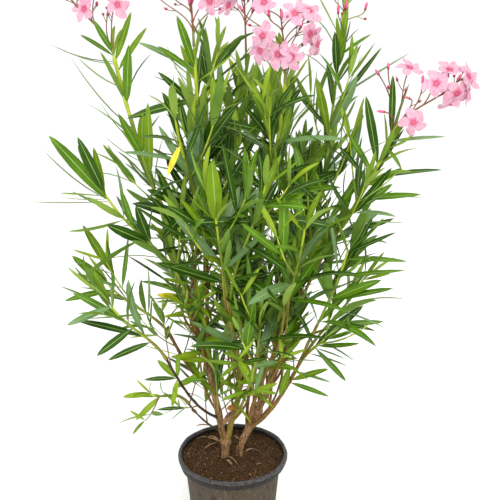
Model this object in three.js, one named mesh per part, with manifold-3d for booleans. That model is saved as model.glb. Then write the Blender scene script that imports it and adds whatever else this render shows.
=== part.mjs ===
// Potted oleander in flower: a plastic nursery pot full of compost, two trunks that fork into
// slender boughs, and leafy shoots with whorls of three narrow leaves and trusses of pink flowers.
// Millimetres. The origin is the middle of the pot's flat underside, +Z is up and -Y is the front.
import * as THREE from "three";
import { mergeVertices } from "three/addons/utils/BufferGeometryUtils.js";
import Module from "manifold-3d";

const wasm = await Module();
wasm.setup();

const UP = new THREE.Vector3(0, 0, 1);
const ACROSS = new THREE.Vector3(1, 0, 0);
const FULL_TURN = 2 * Math.PI;
const GOLDEN_TURN = Math.PI * (3 - Math.sqrt(5));
const WELD = 1e-4;

const radians = (degrees) => (degrees * Math.PI) / 180;
const mix = (from, to, share) => from + (to - from) * share;
const vector = (x, y, z) => new THREE.Vector3(x, y, z);

// The place so far out from the pot's axis, facing so many degrees from +X, at a height.
function at(out, facing, height) {
  const turn = radians(facing);
  return vector(out * Math.cos(turn), out * Math.sin(turn), height);
}

// Clear distances between neighbouring pieces.
const SEAT_GAP = 0.3;
const LEAF_GAP = 0.5;

// The pot is a thin tapered shell with a deep turned-out rim band.
const POT = {
  height: 195,
  rimRadius: 120,
  bandRadius: 117,
  bandHeight: 22,
  shoulderRadius: 104,
  footRadius: 88,
  footRound: 2,
  wall: 3,
  rimLip: 5,
  rimDrop: 4,
  lipRound: 1,
  ledge: 5,
  floor: 4,
  sides: 24,
};
const GROUND = 182;

// Trunks are bare and woody, slim at the flat cut at ground level and stout where they fork.
const TRUNK = { sides: 8, steps: 7, flare: 0.15, flareShare: 0.22, bend: 0.36, upright: 0 };
const TRUNKS = [
  { name: "trunk_left", foot: at(16, 180, GROUND + SEAT_GAP), tip: at(15, 180, 220), radii: [7.5, 10.5] },
  { name: "trunk_right", foot: at(15, 0, GROUND + SEAT_GAP), tip: at(55, 2, 295), radii: [6, 9.5] },
];

// Each bough tapers to its tip. It stands on the tip of another limb, or on its side, where
// "along" is the share of that limb's length.
const BOUGH = {
  sides: 5,
  steps: 5,
  bend: 0.36,
  upright: 0.25,
  sideLean: 0.35,
  seatReach: 40,
  seatTries: 16,
};
const BOUGHS = [
  { name: "limb_left", on: "trunk_left", tip: at(50, 178, 400), radii: [7.4, 6.4] },
  { name: "limb_centre", on: "trunk_left", tip: at(20, -43, 345), radii: [5.8, 5] },
  { name: "bough_outer_left", on: "limb_left", tip: at(95, -168, 575), radii: [4.6, 3.9] },
  { name: "bough_tall_left", on: "limb_left", tip: at(55, 157, 640), radii: [4.6, 3.6] },
  { name: "bough_back_left", on: "limb_left", tip: at(145, 125, 560), radii: [4.6, 3.8] },
  { name: "bough_low_left", on: "limb_left", along: 0.72, tip: at(130, 173, 465), radii: [3.8, 3.1] },
  { name: "bough_front_left", on: "limb_left", along: 0.3, tip: at(145, -156, 450), radii: [4, 3.2] },
  { name: "bough_lowest_left", on: "limb_left", along: 0.12, tip: at(95, 176, 310), radii: [2.8, 2.4] },
  { name: "bough_front", on: "limb_centre", tip: at(110, -91, 590), radii: [4.4, 3.4] },
  { name: "bough_centre", on: "limb_centre", tip: at(75, 67, 615), radii: [4.4, 3.4] },
  { name: "bough_back", on: "limb_centre", tip: at(115, 100, 500), radii: [4, 3.2] },
  { name: "bough_low_centre", on: "limb_centre", along: 0.5, tip: at(95, -62, 430), radii: [3.2, 2.8] },
  { name: "bough_low_back_left", on: "limb_left", along: 0.5, tip: at(115, 120, 430), radii: [3.6, 3] },
  { name: "bough_inner", on: "trunk_right", tip: at(60, 25, 560), radii: [4.8, 3.8] },
  { name: "bough_right", on: "trunk_right", tip: at(135, 0, 530), radii: [6.2, 4.8] },
  { name: "bough_back_right", on: "trunk_right", tip: at(155, 45, 540), radii: [4.8, 3.8] },
  { name: "bough_low_back_right", on: "trunk_right", along: 0.56, tip: at(130, 62, 430), radii: [3.8, 3] },
  { name: "bough_right_side", on: "trunk_right", along: 0.64, tip: at(150, -15, 440), radii: [4.6, 3.6] },
  { name: "bough_front_right", on: "trunk_right", along: 0.68, tip: at(135, -42, 535), radii: [4.2, 3.3] },
];

// Each leafy mass grows from the tip of its bough: a stem to the stated tip, side shoots, leaves.
// "room" is how far the tip of a leaf may be from the stem.
const MASSES = [
  { name: "foliage_upper_left", on: "bough_outer_left", tip: at(230, 167, 1045), room: 170, shoots: 3 },
  { name: "foliage_far_left", on: "bough_outer_left", tip: at(245, -166, 800), room: 185, shoots: 2 },
  { name: "foliage_tall_left", on: "bough_tall_left", tip: at(80, 149, 1060), room: 150, shoots: 3 },
  { name: "foliage_front_left", on: "bough_tall_left", tip: at(145, -131, 950), room: 150, shoots: 2 },
  { name: "foliage_top_centre", on: "bough_centre", tip: at(145, 78, 1010), room: 150, shoots: 3 },
  { name: "foliage_back_centre", on: "bough_back", tip: at(250, 90, 740), room: 160, shoots: 2 },
  { name: "foliage_front_centre", on: "bough_front", tip: at(185, -97, 790), room: 150, shoots: 2 },
  { name: "foliage_front_upper", on: "bough_front", tip: at(190, -70, 850), room: 150, shoots: 2 },
  { name: "foliage_inner", on: "bough_inner", tip: at(105, -11, 1000), room: 150, shoots: 3 },
  { name: "foliage_tall_right", on: "bough_right", tip: at(225, 15, 1125), room: 150, shoots: 3 },
  { name: "foliage_upper_right", on: "bough_right", tip: at(305, -11, 910), room: 165, shoots: 3 },
  { name: "foliage_right_front", on: "bough_right_side", tip: at(245, -24, 700), room: 165, shoots: 2 },
  { name: "foliage_far_right", on: "bough_right_side", tip: at(272, 2, 600), room: 145, shoots: 2 },
  { name: "foliage_low_right", on: "bough_right_side", tip: at(200, -17, 500), room: 130, shoots: 1 },
  { name: "foliage_front_right", on: "bough_front_right", tip: at(230, -54, 770), room: 150, shoots: 2 },
  { name: "foliage_left_middle", on: "bough_low_left", tip: at(260, 172, 575), room: 150, shoots: 2 },
  { name: "foliage_left_front", on: "bough_front_left", tip: at(255, -154, 590), room: 135, shoots: 2 },
  { name: "foliage_lowest_left", on: "bough_lowest_left", tip: at(185, -153, 385), room: 115, shoots: 1 },
  { name: "foliage_low_centre", on: "bough_low_centre", tip: at(145, -66, 590), room: 140, shoots: 2 },
  { name: "foliage_low_back_left", on: "bough_low_back_left", tip: at(250, 125, 570), room: 150, shoots: 2 },
  { name: "foliage_low_back_right", on: "bough_low_back_right", tip: at(255, 55, 570), room: 150, shoots: 2 },
  { name: "foliage_back_left_low", on: "bough_back_left", tip: at(285, 132, 780), room: 165, shoots: 3 },
  { name: "foliage_back_left_tall", on: "bough_back_left", tip: at(260, 108, 940), room: 160, shoots: 3 },
  { name: "foliage_back_right_low", on: "bough_back_right", tip: at(295, 45, 800), room: 165, shoots: 3 },
  { name: "foliage_back_right_tall", on: "bough_back_right", tip: at(265, 65, 980), room: 160, shoots: 3 },
];

// Flower trusses stand on the tips of the tallest shoots.
const TRUSSES = [
  { name: "truss_upper_left", on: "foliage_upper_left", tip: at(305, 171, 1150), blooms: 3 },
  { name: "truss_tall_left", on: "foliage_tall_left", tip: at(85, 152, 1200), blooms: 5 },
  { name: "truss_inner", on: "foliage_inner", tip: at(95, -12, 1135), blooms: 8 },
  { name: "truss_top_centre", on: "foliage_top_centre", tip: at(150, 80, 1160), blooms: 5 },
  { name: "truss_tall_right", on: "foliage_tall_right", tip: at(230, 16, 1215), blooms: 4 },
  { name: "truss_upper_right", on: "foliage_upper_right", tip: at(415, -8, 1005), blooms: 8 },
];

const STEM = { radii: [3, 1.6], sides: 3, steps: 6, bend: 0.34, upright: 0.3 };
const SHOOT = {
  radii: [1.7, 1.2],
  sides: 3,
  steps: 2,
  bend: 0.34,
  upright: 0.3,
  length: 150,
  first: 0.22,
  last: 0.72,
  open: 42,
  rise: 0.35,
};
const WHORL = { leaves: 3, spacing: 64, bareShare: 0.12, recess: 6, climb: 5, offset: 0.3, tries: 6 };
const LEAF = {
  sides: 3,
  length: 168,
  width: 27,
  thickness: 2.4,
  widest: 0.44,
  arch: 0.05,
  youngShare: 0.62,
  openLow: 74,
  openTop: 26,
  openScatter: 26,
  turnScatter: 0.5,
  droop: 0.14,
  sizeScatter: 0.24,
  sunk: 0.1,
};
const PEDUNCLE = { radii: [2, 1.3], sides: 3, steps: 2, bend: 0.34, upright: 0.1, first: 0.3 };
const PEDICEL = {
  radii: [1.1, 0.9],
  sides: 3,
  steps: 1,
  length: 46,
  scatter: 0.35,
  open: 66,
  openTop: 24,
  leanScatter: 0.5,
};
const BLOOM = { radius: 24, notch: 0.6, tube: 20, throat: 5, cup: 4, petals: 5, sunk: 4, tries: 12 };

const COLOURS = {
  pot: { color: "#5c564d", roughness: 0.62, metalness: 0 },
  compost: { color: "#4a382a", roughness: 0.95, metalness: 0 },
  bark: { color: "#75603f", roughness: 0.85, metalness: 0 },
  foliage: { color: "#3f7a2c", roughness: 0.5, metalness: 0 },
  blossom: { color: "#f09ab4", roughness: 0.55, metalness: 0 },
};

// A repeatable stream of numbers from 0 to 1.
const STREAM = { factor: 1664525, step: 1013904223, range: 2 ** 32, spread: 7877 };
function streamOf(seed) {
  let state = (seed + 1) * STREAM.spread;
  return () => {
    state = (Math.imul(state, STREAM.factor) + STREAM.step) >>> 0;
    return state / STREAM.range;
  };
}

// A closed shape with its shared corners merged and nothing kept but their places.
function bare(geometry) {
  const shape = geometry.clone();
  shape.deleteAttribute("normal");
  shape.deleteAttribute("uv");
  return mergeVertices(shape, WELD);
}

// A closed shape with each corner moved by a rule.
function reshape(geometry, rule) {
  const shape = bare(geometry);
  const corners = shape.getAttribute("position");
  for (let i = 0; i < corners.count; i += 1) {
    const moved = rule(vector(corners.getX(i), corners.getY(i), corners.getZ(i)));
    corners.setXYZ(i, moved.x, moved.y, moved.z);
  }
  return shape;
}

// The place, direction and two square directions at a share of the way along a curve.
function frameAt(curve, share) {
  const spot = curve.getPoint(share);
  const along = curve.getTangent(share).normalize();
  const side = ACROSS.clone().addScaledVector(along, -ACROSS.dot(along)).normalize();
  const front = side.clone().cross(along);
  return { spot, along, side, front };
}

// The direction at an angle from a frame's own, turned about it.
function turned(frame, open, turn) {
  const outward = frame.side.clone().multiplyScalar(Math.cos(turn));
  outward.addScaledVector(frame.front, Math.sin(turn));
  return outward.multiplyScalar(Math.sin(open)).addScaledVector(frame.along, Math.cos(open));
}

// A convex piece for the clearance test: its corners, face directions and edge directions.
function convex(corners, faces, edges) {
  const centre = vector(0, 0, 0);
  corners.forEach((corner) => centre.addScaledVector(corner, 1 / corners.length));
  const reach = Math.max(...corners.map((corner) => corner.distanceTo(centre)));
  return { corners, faces, edges, centre, reach };
}

// How far a piece spans along a direction.
function span(piece, axis) {
  const shadows = piece.corners.map((corner) => corner.dot(axis));
  return [Math.min(...shadows), Math.max(...shadows)];
}

// Whether some direction parts two pieces by the gap.
function apart(one, other, gap) {
  if (one.centre.distanceTo(other.centre) > one.reach + other.reach + gap) {
    return true;
  }
  const parts = (axis) => {
    const length = axis.length();
    const [low, high] = span(one, axis);
    const [from, to] = span(other, axis);
    return length > WELD && Math.max(from - high, low - to) >= gap * length;
  };
  if (one.faces.some(parts) || other.faces.some(parts)) {
    return true;
  }
  return one.edges.some((edge) => other.edges.some((rival) => parts(edge.clone().cross(rival))));
}

// A tapering limb: a cylinder bent along a curve, thinner or thicker by a rule.
function limb(curve, radiusAt, sides, steps) {
  const ring = (share) => {
    const frame = frameAt(curve, share);
    return Array.from({ length: sides }, (_, side) => {
      const turn = (FULL_TURN * side) / sides;
      const corner = frame.spot.clone();
      corner.addScaledVector(frame.side, radiusAt(share) * Math.sin(turn));
      return corner.addScaledVector(frame.front, radiusAt(share) * Math.cos(turn));
    });
  };
  const pieces = Array.from({ length: steps }, (_, step) => {
    const [near, far] = [ring(step / steps), ring((step + 1) / steps)];
    const rims = near.map((corner, side) => near[(side + 1) % sides].clone().sub(corner));
    const runs = near.map((corner, side) => far[side].clone().sub(corner));
    const faces = rims.map((rim, side) => rim.clone().cross(runs[side]));
    const axis = frameAt(curve, (step + 0.5) / steps).along;
    return convex([...near, ...far], [axis, ...faces], [...rims, ...runs]);
  });
  const shape = reshape(new THREE.CylinderGeometry(1, 1, 1, sides, steps), (corner) => {
    const share = corner.y + 0.5;
    const frame = frameAt(curve, share);
    const moved = frame.spot.clone().addScaledVector(frame.side, corner.x * radiusAt(share));
    return moved.addScaledVector(frame.front, corner.z * radiusAt(share));
  });
  return { shape, pieces, curve, steps };
}

// The frame at a share of the way along a limb, on the straight stretch between its rings.
function spineAt({ curve, steps }, share) {
  const step = Math.min(Math.floor(share * steps), steps - 1);
  const far = curve.getPoint((step + 1) / steps);
  const spot = curve.getPoint(step / steps).lerp(far, share * steps - step);
  return { ...frameAt(curve, share), spot };
}

// A curve that leaves in one direction and arrives at its tip bent a share of the way upright.
function reachCurve(start, leave, tip, { bend, upright }) {
  const chord = tip.clone().sub(start);
  const pull = chord.length() * bend;
  const arrive = chord.clone().normalize().lerp(UP, upright).normalize();
  const first = start.clone().addScaledVector(leave, pull);
  const second = tip.clone().addScaledVector(arrive, -pull);
  return new THREE.CubicBezierCurve3(start, first, second, tip);
}

// A narrow leaf with a root, a tip, two edges and a raised midrib, flat underneath.
function leaf(root, heading, upward, length) {
  const across = heading.clone().cross(upward).normalize();
  const crown = across.clone().cross(heading).normalize();
  const width = (LEAF.width * length) / LEAF.length;
  const edgeTurn = Math.PI / LEAF.sides;
  const rule = (corner) => {
    const waist = 1 - Math.abs(corner.y);
    const share = mix(corner.y > 0 ? 1 : 0, LEAF.widest, waist);
    const moved = root.clone().addScaledVector(heading, length * share);
    moved.addScaledVector(across, (corner.z * width) / (2 * Math.sin(edgeTurn)));
    const lift = (-corner.x * LEAF.thickness) / (1 + Math.cos(edgeTurn));
    return moved.addScaledVector(crown, lift + waist * LEAF.arch * length);
  };
  const shape = reshape(new THREE.SphereGeometry(1, LEAF.sides, 2), rule);
  const [foot, tip] = [vector(0, -1, 0), vector(0, 1, 0)].map(rule);
  const waists = Array.from({ length: LEAF.sides }, (_, side) => {
    const turn = (FULL_TURN * side) / LEAF.sides;
    return rule(vector(-Math.cos(turn), 0, Math.sin(turn)));
  });
  const between = (from, to) => to.clone().sub(from);
  const next = (side) => waists[(side + 1) % LEAF.sides];
  const ends = [foot, tip];
  const runs = ends.flatMap((end) => waists.map((corner) => between(end, corner)));
  const girth = waists.map((corner, side) => between(corner, next(side)));
  const faces = ends.flatMap((end) =>
    waists.map((corner, side) => between(end, corner).cross(between(end, next(side)))),
  );
  return { shape, piece: convex([...ends, ...waists], faces, [...runs, ...girth]), tip };
}

// An open flower: a sphere of ten sides flattened to five petals in front of a narrow tube.
function bloom(spot, heading) {
  const frame = frameAt(new THREE.LineCurve3(spot, spot.clone().add(heading)), 0);
  const rule = (corner) => {
    const turn = Math.atan2(corner.z, corner.x);
    const onPetal = Math.cos(turn * BLOOM.petals) > 0;
    const rim = Math.hypot(corner.x, corner.z);
    const radius = BLOOM.radius * rim * (onPetal ? 1 : BLOOM.notch);
    const pole = corner.y > 0 ? -BLOOM.throat : -BLOOM.tube;
    const depth = mix(pole, onPetal ? 0 : -BLOOM.cup, rim);
    const moved = frame.spot.clone().addScaledVector(frame.along, BLOOM.tube + depth);
    moved.addScaledVector(frame.side, radius * Math.cos(turn));
    return moved.addScaledVector(frame.front, radius * Math.sin(turn));
  };
  const shape = reshape(new THREE.SphereGeometry(1, 2 * BLOOM.petals, 2), rule);
  const corners = Array.from({ length: shape.getAttribute("position").count }, (_, i) =>
    new THREE.Vector3().fromBufferAttribute(shape.getAttribute("position"), i),
  );
  const outer = corners.filter((corner) => corner.distanceTo(spot) > BLOOM.tube);
  const spokes = outer.map((corner) => corner.clone().sub(spot));
  return { shape, piece: convex(corners, [frame.along, ...spokes], spokes) };
}

// A shape with its corners as an exact solid, for joining.
function solid(shape) {
  const vertProperties = Float32Array.from(shape.getAttribute("position").array);
  const triVerts = Uint32Array.from(shape.index.array);
  return new wasm.Manifold(new wasm.Mesh({ numProp: 3, vertProperties, triVerts }));
}

// Shapes joined into one.
function fuse(shapes) {
  const whole = shapes.map(solid).reduce((made, next) => made.add(next));
  const { vertProperties, triVerts } = whole.getMesh();
  const shape = new THREE.BufferGeometry();
  shape.setAttribute("position", new THREE.BufferAttribute(vertProperties, 3));
  shape.setIndex(new THREE.BufferAttribute(triVerts, 1));
  return shape;
}

// A named mesh whose own frame is at its anchor.
function piece(name, shape, anchor, finish) {
  const own = shape.clone().translate(-anchor.x, -anchor.y, -anchor.z);
  own.computeVertexNormals();
  const material = new THREE.MeshStandardMaterial({ ...COLOURS[finish], flatShading: true });
  const mesh = new THREE.Mesh(own, material);
  mesh.name = name;
  mesh.position.copy(anchor);
  return mesh;
}

// A solid turned about the upright axis from pairs of radius and height.
function turnedSolid(profile) {
  const points = profile.map(([radius, height]) => new THREE.Vector2(radius, height));
  return bare(new THREE.LatheGeometry(points, POT.sides)).rotateX(Math.PI / 2);
}

// The corners of the pot's inner wall, from its floor up to its lip.
function potInside() {
  const bandFoot = POT.height - POT.bandHeight;
  return [
    [POT.footRadius - POT.wall, POT.floor],
    [POT.shoulderRadius - POT.wall, bandFoot],
    [POT.bandRadius - POT.wall, bandFoot + POT.ledge],
    [POT.rimRadius - POT.rimLip, POT.height - POT.lipRound],
  ];
}

// The pot from the middle of its underside out, up its wall, over the rim and down inside.
function potShape() {
  const bandFoot = POT.height - POT.bandHeight;
  const outside = [
    [0, 0],
    [POT.footRadius - POT.footRound, 0],
    [POT.footRadius, POT.footRound],
    [POT.shoulderRadius, bandFoot],
    [POT.bandRadius, bandFoot],
    [POT.rimRadius, POT.height - POT.rimDrop],
    [POT.rimRadius - POT.lipRound, POT.height],
    [POT.rimRadius - POT.rimLip + POT.lipRound, POT.height],
  ];
  return turnedSolid([...outside, ...potInside().reverse(), [0, POT.floor]]);
}

// The compost fills the pot up to the ground line, a seat gap clear of the wall.
function compostShape() {
  const wall = potInside().map(([radius, height]) => [radius - SEAT_GAP, height + SEAT_GAP]);
  const [low, high] = wall.slice(-2);
  const topRadius = mix(low[0], high[0], (GROUND - low[1]) / (high[1] - low[1]));
  const profile = [[0, POT.floor + SEAT_GAP], ...wall.slice(0, -1), [topRadius, GROUND], [0, GROUND]];
  return turnedSolid(profile);
}

// Pieces that stand already, each with the node that owns it.
const standing = [];
const stand = (owner, pieces) => pieces.forEach((one) => standing.push({ owner, one }));
const clear = (owner, one, gap) =>
  standing.every((other) => other.owner === owner || apart(one, other.one, gap));

const limbs = new Map();

// A trunk from the ground up, with its foot flared a little.
function growTrunk(trunk) {
  const curve = reachCurve(trunk.foot, UP, trunk.tip, TRUNK);
  const radiusAt = (share) => {
    const flare = Math.max(0, 1 - share / TRUNK.flareShare);
    return mix(...trunk.radii, share) * (1 + TRUNK.flare * flare * flare);
  };
  return { ...limb(curve, radiusAt, TRUNK.sides, TRUNK.steps), radiusAt };
}

// The direction from a tip towards each of its fellows in turn, evenly round it.
function slots(parent, rows) {
  const frame = frameAt(parent.curve, 1);
  const bearing = (row) => {
    const chord = row.tip.clone().sub(frame.spot);
    return Math.atan2(chord.dot(frame.front), chord.dot(frame.side));
  };
  const ordered = [...rows].sort((one, other) => bearing(one) - bearing(other));
  const first = bearing(ordered[0]);
  return new Map(
    ordered.map((row, i) => {
      const turn = first + (FULL_TURN * i) / ordered.length;
      return [row.name, turned(frame, Math.PI / 2, turn)];
    }),
  );
}

// A limb from its start to its own tip.
function growFrom(start, leave, row, form) {
  const curve = reachCurve(start, leave, row.tip, form);
  const radiusAt = (share) => mix(...(row.radii ?? form.radii), share);
  return { ...limb(curve, radiusAt, form.sides, form.steps), radiusAt };
}

// A limb that continues its parent from the tip, side by side with its fellows.
function growOnTip(row, parent, fellows, form) {
  const frame = frameAt(parent.curve, 1);
  const [radius] = row.radii ?? form.radii;
  const offset = fellows.length > 1 ? (radius + SEAT_GAP) / Math.sin(Math.PI / fellows.length) : 0;
  const start = frame.spot.clone().addScaledVector(frame.along, SEAT_GAP);
  start.addScaledVector(slots(parent, fellows).get(row.name), offset);
  return growFrom(start, frame.along, row, form);
}

// A limb off its parent's side, drawn in along its own direction until it is just clear of it.
function growOnSide(row, parent, form) {
  const frame = frameAt(parent.curve, row.along);
  const chord = row.tip.clone().sub(frame.spot);
  const outward = chord.clone().addScaledVector(frame.along, -chord.dot(frame.along)).normalize();
  const leave = chord.normalize().lerp(outward, form.sideLean).normalize();
  const grow = (reach) => growFrom(frame.spot.clone().addScaledVector(leave, reach), leave, row, form);
  const touches = (made) =>
    made.pieces.some((one) => parent.pieces.some((other) => !apart(one, other, SEAT_GAP)));
  let [near, far] = [0, form.seatReach];
  for (let i = 0; i < form.seatTries; i += 1) {
    const middle = (near + far) / 2;
    [near, far] = touches(grow(middle)) ? [middle, far] : [near, middle];
  }
  return grow(far);
}

// A limb from its seat on another.
function growLimb(row, table, form) {
  const parent = limbs.get(row.on);
  if (row.along < 1) {
    return growOnSide(row, parent, form);
  }
  const fellows = table.filter((other) => other.on === row.on && !(other.along < 1));
  return growOnTip(row, parent, fellows, form);
}

const root = new THREE.Group();
root.name = "potted_oleander";
const [container, wood, foliage, blossom] = ["container", "wood", "foliage", "blossom"].map((name) => {
  const group = new THREE.Group();
  group.name = name;
  root.add(group);
  return group;
});

container.add(piece("pot", potShape(), vector(0, 0, 0), "pot"));
container.add(piece("compost", compostShape(), vector(0, 0, 0), "compost"));

for (const trunk of TRUNKS) {
  const made = growTrunk(trunk);
  limbs.set(trunk.name, made);
  stand(trunk.name, made.pieces);
  wood.add(piece(trunk.name, made.shape, made.curve.v0, "bark"));
}

for (const row of BOUGHS) {
  const made = growLimb(row, BOUGHS, BOUGH);
  limbs.set(row.name, made);
  stand(row.name, made.pieces);
  wood.add(piece(row.name, made.shape, made.curve.v0, "bark"));
}

// The stem of every mass and truss stands before any leaf is tried.
for (const row of MASSES) {
  const made = growLimb(row, MASSES, STEM);
  limbs.set(row.name, made);
  stand(row.name, made.pieces);
}

// A truss: a stalk with flowers round its upper part, each on its own short stalk.
function growTruss(row, seed) {
  const random = streamOf(seed);
  const stalk = growLimb(row, TRUSSES, PEDUNCLE);
  const shapes = [stalk.shape];
  const own = [];
  stand(row.name, stalk.pieces);
  for (let i = 0; i < row.blooms; i += 1) {
    const share = mix(PEDUNCLE.first, 1, (i + 1) / row.blooms);
    for (let attempt = 0; attempt < BLOOM.tries; attempt += 1) {
      const frame = spineAt(stalk, share);
      const lean = radians(mix(PEDICEL.open, PEDICEL.openTop, (i + 1) / row.blooms));
      const heading = turned(frame, lean * mix(1, 2 * random(), PEDICEL.leanScatter), FULL_TURN * random());
      const length = PEDICEL.length * (1 - PEDICEL.scatter * random());
      const end = frame.spot.clone().addScaledVector(heading, length);
      const flower = bloom(end.clone().addScaledVector(heading, -BLOOM.sunk), heading);
      const path = new THREE.LineCurve3(frame.spot, end);
      const radiusAt = (way) => mix(...PEDICEL.radii, way);
      const foot = limb(path, radiusAt, PEDICEL.sides, PEDICEL.steps);
      const parts = [flower.piece, ...foot.pieces];
      const free = own.every((other) => parts.every((part) => apart(part, other, LEAF_GAP)));
      const open = stalk.pieces.every((other) => apart(flower.piece, other, LEAF_GAP));
      if (free && open && parts.every((part) => clear(row.name, part, LEAF_GAP))) {
        shapes.push(foot.shape, flower.shape);
        own.push(...parts);
        stand(row.name, parts);
        break;
      }
    }
  }
  return { shape: fuse(shapes), anchor: stalk.curve.v0 };
}

TRUSSES.forEach((row, i) => {
  const made = growTruss(row, MASSES.length + i);
  blossom.add(piece(row.name, made.shape, made.anchor, "blossom"));
});

// Whorls of leaves up a shoot. Older leaves lower down stand further open than the young ones.
// The leaves of one whorl sit a little above each other, and touch nothing but their own shoot.
function growWhorls(row, shoot, spots, random, rivals) {
  const shapes = [];
  const length = shoot.curve.getLength();
  const count = Math.max(1, Math.round((length * (1 - WHORL.bareShare)) / WHORL.spacing));
  for (let i = WHORL.leaves; i < WHORL.leaves * (count + 1); i += 1) {
    const whorl = Math.floor(i / WHORL.leaves);
    const age = whorl / count;
    const climb = (WHORL.climb * (i % WHORL.leaves) + WHORL.recess) / length;
    const share = mix(WHORL.bareShare, 1, age) - climb;
    const frame = spineAt(shoot, share);
    const youth = mix(1, LEAF.youngShare, age * age);
    for (let attempt = 0; attempt < WHORL.tries; attempt += 1) {
      const scatter = LEAF.turnScatter * (random() - 0.5);
      const turn = (FULL_TURN * (i + whorl / 2)) / WHORL.leaves + WHORL.offset + scatter;
      const lean = mix(LEAF.openLow, LEAF.openTop, age);
      const open = radians(lean + LEAF.openScatter * (random() - 0.5));
      const heading = turned(frame, open, turn);
      heading.addScaledVector(UP, -LEAF.droop * random()).normalize();
      const size = LEAF.length * youth * (1 - LEAF.sizeScatter * random());
      const sunkRoot = frame.spot.clone().addScaledVector(heading, -LEAF.sunk * shoot.radiusAt(share));
      const made = leaf(sunkRoot, heading, frame.along, size);
      const near = spots.some((spot) => spot.distanceTo(made.tip) < row.room);
      const free = rivals.every((rival) => apart(made.piece, rival, LEAF_GAP));
      if (near && free && clear(row.name, made.piece, LEAF_GAP)) {
        shapes.push(made.shape);
        rivals.push(made.piece);
        stand(row.name, [made.piece]);
        break;
      }
    }
  }
  return shapes;
}

// Side shoots leave the stem one after another round it.
function growShoots(row, stem, random) {
  const grown = [];
  for (let i = 0; i < row.shoots; i += 1) {
    const share = mix(SHOOT.first, SHOOT.last, (i + random()) / row.shoots);
    const frame = spineAt(stem, share);
    const heading = turned(frame, radians(SHOOT.open), i * GOLDEN_TURN + FULL_TURN * random());
    const length = SHOOT.length * (1 - share / 2);
    const tip = frame.spot.clone().addScaledVector(heading, length).addScaledVector(UP, SHOOT.rise * length);
    const curve = reachCurve(frame.spot, heading, tip, SHOOT);
    const radiusAt = (way) => mix(...SHOOT.radii, way);
    const made = { ...limb(curve, radiusAt, SHOOT.sides, SHOOT.steps), radiusAt };
    if (made.pieces.every((one) => clear(row.name, one, LEAF_GAP))) {
      stand(row.name, made.pieces);
      grown.push(made);
    }
  }
  return grown;
}

// A leafy mass: the stem, its side shoots and their leaves, joined.
function growMass(row, seed) {
  const random = streamOf(seed);
  const stem = limbs.get(row.name);
  const spots = stem.curve.getSpacedPoints(STEM.steps * 2);
  const shoots = [stem, ...growShoots(row, stem, random)];
  const leaves = [];
  const shapes = shoots.flatMap((shoot) => {
    const others = shoots.filter((other) => other !== shoot).flatMap((other) => other.pieces);
    const rivals = [...leaves, ...others];
    const made = growWhorls(row, shoot, spots, random, rivals);
    leaves.push(...rivals.slice(leaves.length + others.length));
    return made;
  });
  return fuse([...shoots.map((shoot) => shoot.shape), ...shapes]);
}

MASSES.forEach((row, i) => {
  const anchor = limbs.get(row.name).curve.v0;
  foliage.add(piece(row.name, growMass(row, i), anchor, "foliage"));
});

export default root;
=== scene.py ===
"""Looks of a potted oleander in flower: bark, green twigs, leaves, blossom, compost and pot.

Metres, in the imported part's own frame: the middle of the pot's underside is the origin, +Z is up
and -Y is the front. The plant grows here by the same rule as its solids, carried on to more and
finer twigs and to leaves of their real size.
"""

import logging
import math
from collections.abc import Iterable
from dataclasses import dataclass, field
from enum import IntEnum
from typing import NamedTuple

import bpy
import numpy as np
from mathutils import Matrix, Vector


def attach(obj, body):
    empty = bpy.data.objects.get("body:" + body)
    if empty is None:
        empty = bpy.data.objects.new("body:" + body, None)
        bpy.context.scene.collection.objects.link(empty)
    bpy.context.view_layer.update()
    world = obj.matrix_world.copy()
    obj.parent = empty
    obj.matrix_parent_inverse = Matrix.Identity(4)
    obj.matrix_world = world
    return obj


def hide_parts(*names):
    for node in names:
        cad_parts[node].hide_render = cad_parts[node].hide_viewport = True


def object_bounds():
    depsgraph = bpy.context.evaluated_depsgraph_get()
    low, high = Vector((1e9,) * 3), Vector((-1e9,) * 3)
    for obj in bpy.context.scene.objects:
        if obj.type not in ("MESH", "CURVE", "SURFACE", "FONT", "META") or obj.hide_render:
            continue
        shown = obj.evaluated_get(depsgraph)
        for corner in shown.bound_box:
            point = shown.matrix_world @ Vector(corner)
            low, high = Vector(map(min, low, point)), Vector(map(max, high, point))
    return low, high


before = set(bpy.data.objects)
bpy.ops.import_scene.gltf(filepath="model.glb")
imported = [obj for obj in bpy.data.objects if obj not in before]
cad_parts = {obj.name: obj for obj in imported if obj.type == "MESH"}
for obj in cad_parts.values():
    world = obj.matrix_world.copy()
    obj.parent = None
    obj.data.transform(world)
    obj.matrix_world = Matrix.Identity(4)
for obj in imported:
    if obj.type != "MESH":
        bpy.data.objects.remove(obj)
CAD_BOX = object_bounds()

Array = np.ndarray
# Numbers that belong together, such as a range, the radii at both ends or a place.
Pair = tuple[float, float]
Triple = tuple[float, float, float]
LOG = logging.getLogger("potted_oleander")
MM = 0.001
TINY = 1e-12
FULL_TURN = 2 * math.pi
GOLDEN_TURN = math.pi * (3 - math.sqrt(5))
UP = np.array([0.0, 0.0, 1.0])
ACROSS = np.array([1.0, 0.0, 0.0])
# The height of the compost's surface.
GROUND = 182 * MM
# Faces that meet in more than this angle keep a crisp edge.
CREASE = math.radians(75)
# From the middle of the plant towards the photograph's camera.
TO_VIEWER = np.array([0.0, -0.945, 0.327])
# Where the upper side of a leaf faces that is seen broad, and of one that is seen edge-on.
BROAD_FACE = np.array([0.0, -0.94, 0.34])
EDGE_FACE = np.array([0.0, 0.34, 0.94])


def mix(start: float, end: float, share: float) -> float:
    """The value at a share of the way from start to end."""
    return start + (end - start) * share


def unit(vector: Array) -> Array:
    """The vector, or each row of vectors, made one long."""
    return vector / np.maximum(np.linalg.norm(vector, axis=-1, keepdims=True), TINY)


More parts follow.
